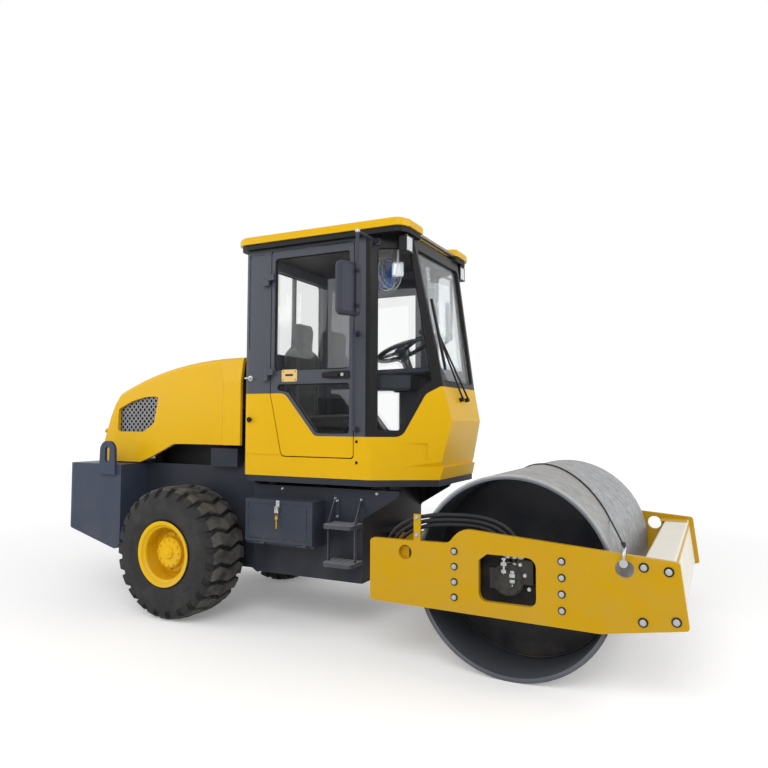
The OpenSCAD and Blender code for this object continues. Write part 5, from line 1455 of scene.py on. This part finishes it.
def swellPad(pad):        # blown up a little, its resting face held
    cloth = pad.modifiers.new("swell", "CLOTH")
    ways = cloth.settings
    ways.quality = 6
    ways.mass = 0.3
    ways.use_pressure = True
    ways.uniform_pressure_force = padPressure
    ways.effector_weights.gravity = 0
    ways.vertex_group_mass = "held"
    for step in range(1, 21):
        scene.frame_set(step)
    shaped = pad.evaluated_get(bpy.context.evaluated_depsgraph_get()).data
    spots = [vertex.co.copy() for vertex in shaped.vertices]
    pad.modifiers.remove(cloth)
    scene.frame_set(1)
    for vertex, spot in zip(pad.data.vertices, spots):
        move = spot - vertex.co
        if move.length > padSwell:
            move *= padSwell / move.length
        vertex.co += move


def makeSeatPads(looks):
    for node, look in looks.items():
        bm = bmesh.new()
        if "half" in look:
            ring = [st(x, look["half"], z) for x, z in look["outline"]]
            addPrism(bm, ring, 2 * look["half"], 0.022)
        else:
            x = look["reach"][0]
            ring = bothHalves(look["outline"], lambda side, y, z: st(x, side * y, z))
            addPrism(bm, ring[::-1], look["reach"][1] - x, 0.022)
        mesh = evenMesh(meshFrom(look["name"], bm))
        pad = addObject(look["name"], mesh)
        rest = 2 if "half" in look else 0
        floor = min(vertex.co[rest] for vertex in mesh.vertices) + 0.004
        held = pad.vertex_groups.new(name="held")
        held.add([vertex.index for vertex in mesh.vertices if vertex.co[rest] < floor], 1.0, "REPLACE")
        swellPad(pad)
        for axis, place in look["grooves"]:
            line = place + (axle.x if axis == 0 else 0)
            for vertex in mesh.vertices:
                near = math.exp(-((vertex.co[axis] - line) / padGroove["width"]) ** 2)
                if vertex.co[rest] > floor + 0.03:
                    vertex.co[rest] -= padGroove["depth"] * near
        mesh.materials.clear()
        mesh.materials.append(finish["wovenCloth"])
        mesh.polygons.foreach_set("use_smooth", [True] * len(mesh.polygons))
        pad.modifiers.new("smooth", "SUBSURF").levels = 1
        pad.modifiers["smooth"].render_levels = 1
        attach(pad, "chassis")
        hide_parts(node)
        print(look["name"], "of", len(mesh.vertices), "points")


makeSeatPads(seatPads)

# Floor, light and world

studio = {
    "floor": 0.93,
    "sky": 0.44,
    "glow": 0.2,        # of the floor as the eye sees it
    "key": {"at": (2.6, -7.5, 6.5), "size": 6.0, "watts": 400},
    "fill": {"at": (-6.5, -4.5, 4.0), "size": 5.0, "watts": 170},
    "front": {"at": (8.5, 1.5, 4.5), "size": 5.0, "watts": 240},
}


def addLamp(name, look):
    data = bpy.data.lights.new(name, "AREA")
    data.shape = "SQUARE"
    data.size = look["size"]
    data.energy = look["watts"]
    lamp = addObject(name, data)
    at = Vector(look["at"])
    turn = (upright - at).to_track_quat("-Z", "Y").to_matrix().to_4x4()        # towards a metre above the floor
    lamp.matrix_world = Matrix.Translation(at) @ turn


def seenRays(tree):        # 1 for what the eye sees straight, in gloss or through glass
    path = put(tree, "LightPath").outputs
    both = sums(tree, "MAXIMUM", path["Is Camera Ray"], path["Is Glossy Ray"])
    return sums(tree, "MAXIMUM", both, path["Is Transmission Ray"])


def makeWorld(look):
    world = bpy.data.worlds.new("studio")
    world.use_nodes = True
    scene.world = world
    tree = world.node_tree
    back = tree.nodes["Background"]
    shade = blendColour(tree, seenRays(tree), (look["sky"],) * 3 + (1.0,), (1.0, 1.0, 1.0, 1.0))
    tree.links.new(shade, back.inputs["Color"])


def makeFloor(look):
    bm = bmesh.new()
    bmesh.ops.create_circle(bm, cap_ends=True, radius=40.0, segments=64)
    mesh = bpy.data.meshes.new("floor")
    bm.to_mesh(mesh)
    bm.free()
    floor = addObject("floor", mesh)
    material, tree, sockets = newMaterial("paleFloor", Roughness=0.9, Emission_Strength=1.0)
    place = ownPlace(tree)
    far = spread(tree, put(tree, "VectorMath", {0: place}, operation="LENGTH").outputs["Value"], 3.5, 8.0)
    seen = seenRays(tree)
    far = times(tree, far, seen)
    paler = greys(tree, times(tree, seen, look["glow"]))
    tree.links.new(blendColour(tree, far, (look["floor"],) * 3 + (1.0,), (0.0, 0.0, 0.0, 1.0)), sockets["Base Color"])
    tree.links.new(blendColour(tree, far, paler, (1.0, 1.0, 1.0, 1.0)), sockets["Emission Color"])
    mesh.materials.append(material)


makeWorld(studio)
makeFloor(studio)
for lampName in ("key", "fill", "front"):
    addLamp(lampName, studio[lampName])
scene.view_settings.view_transform = "Standard"
print("studio lit")
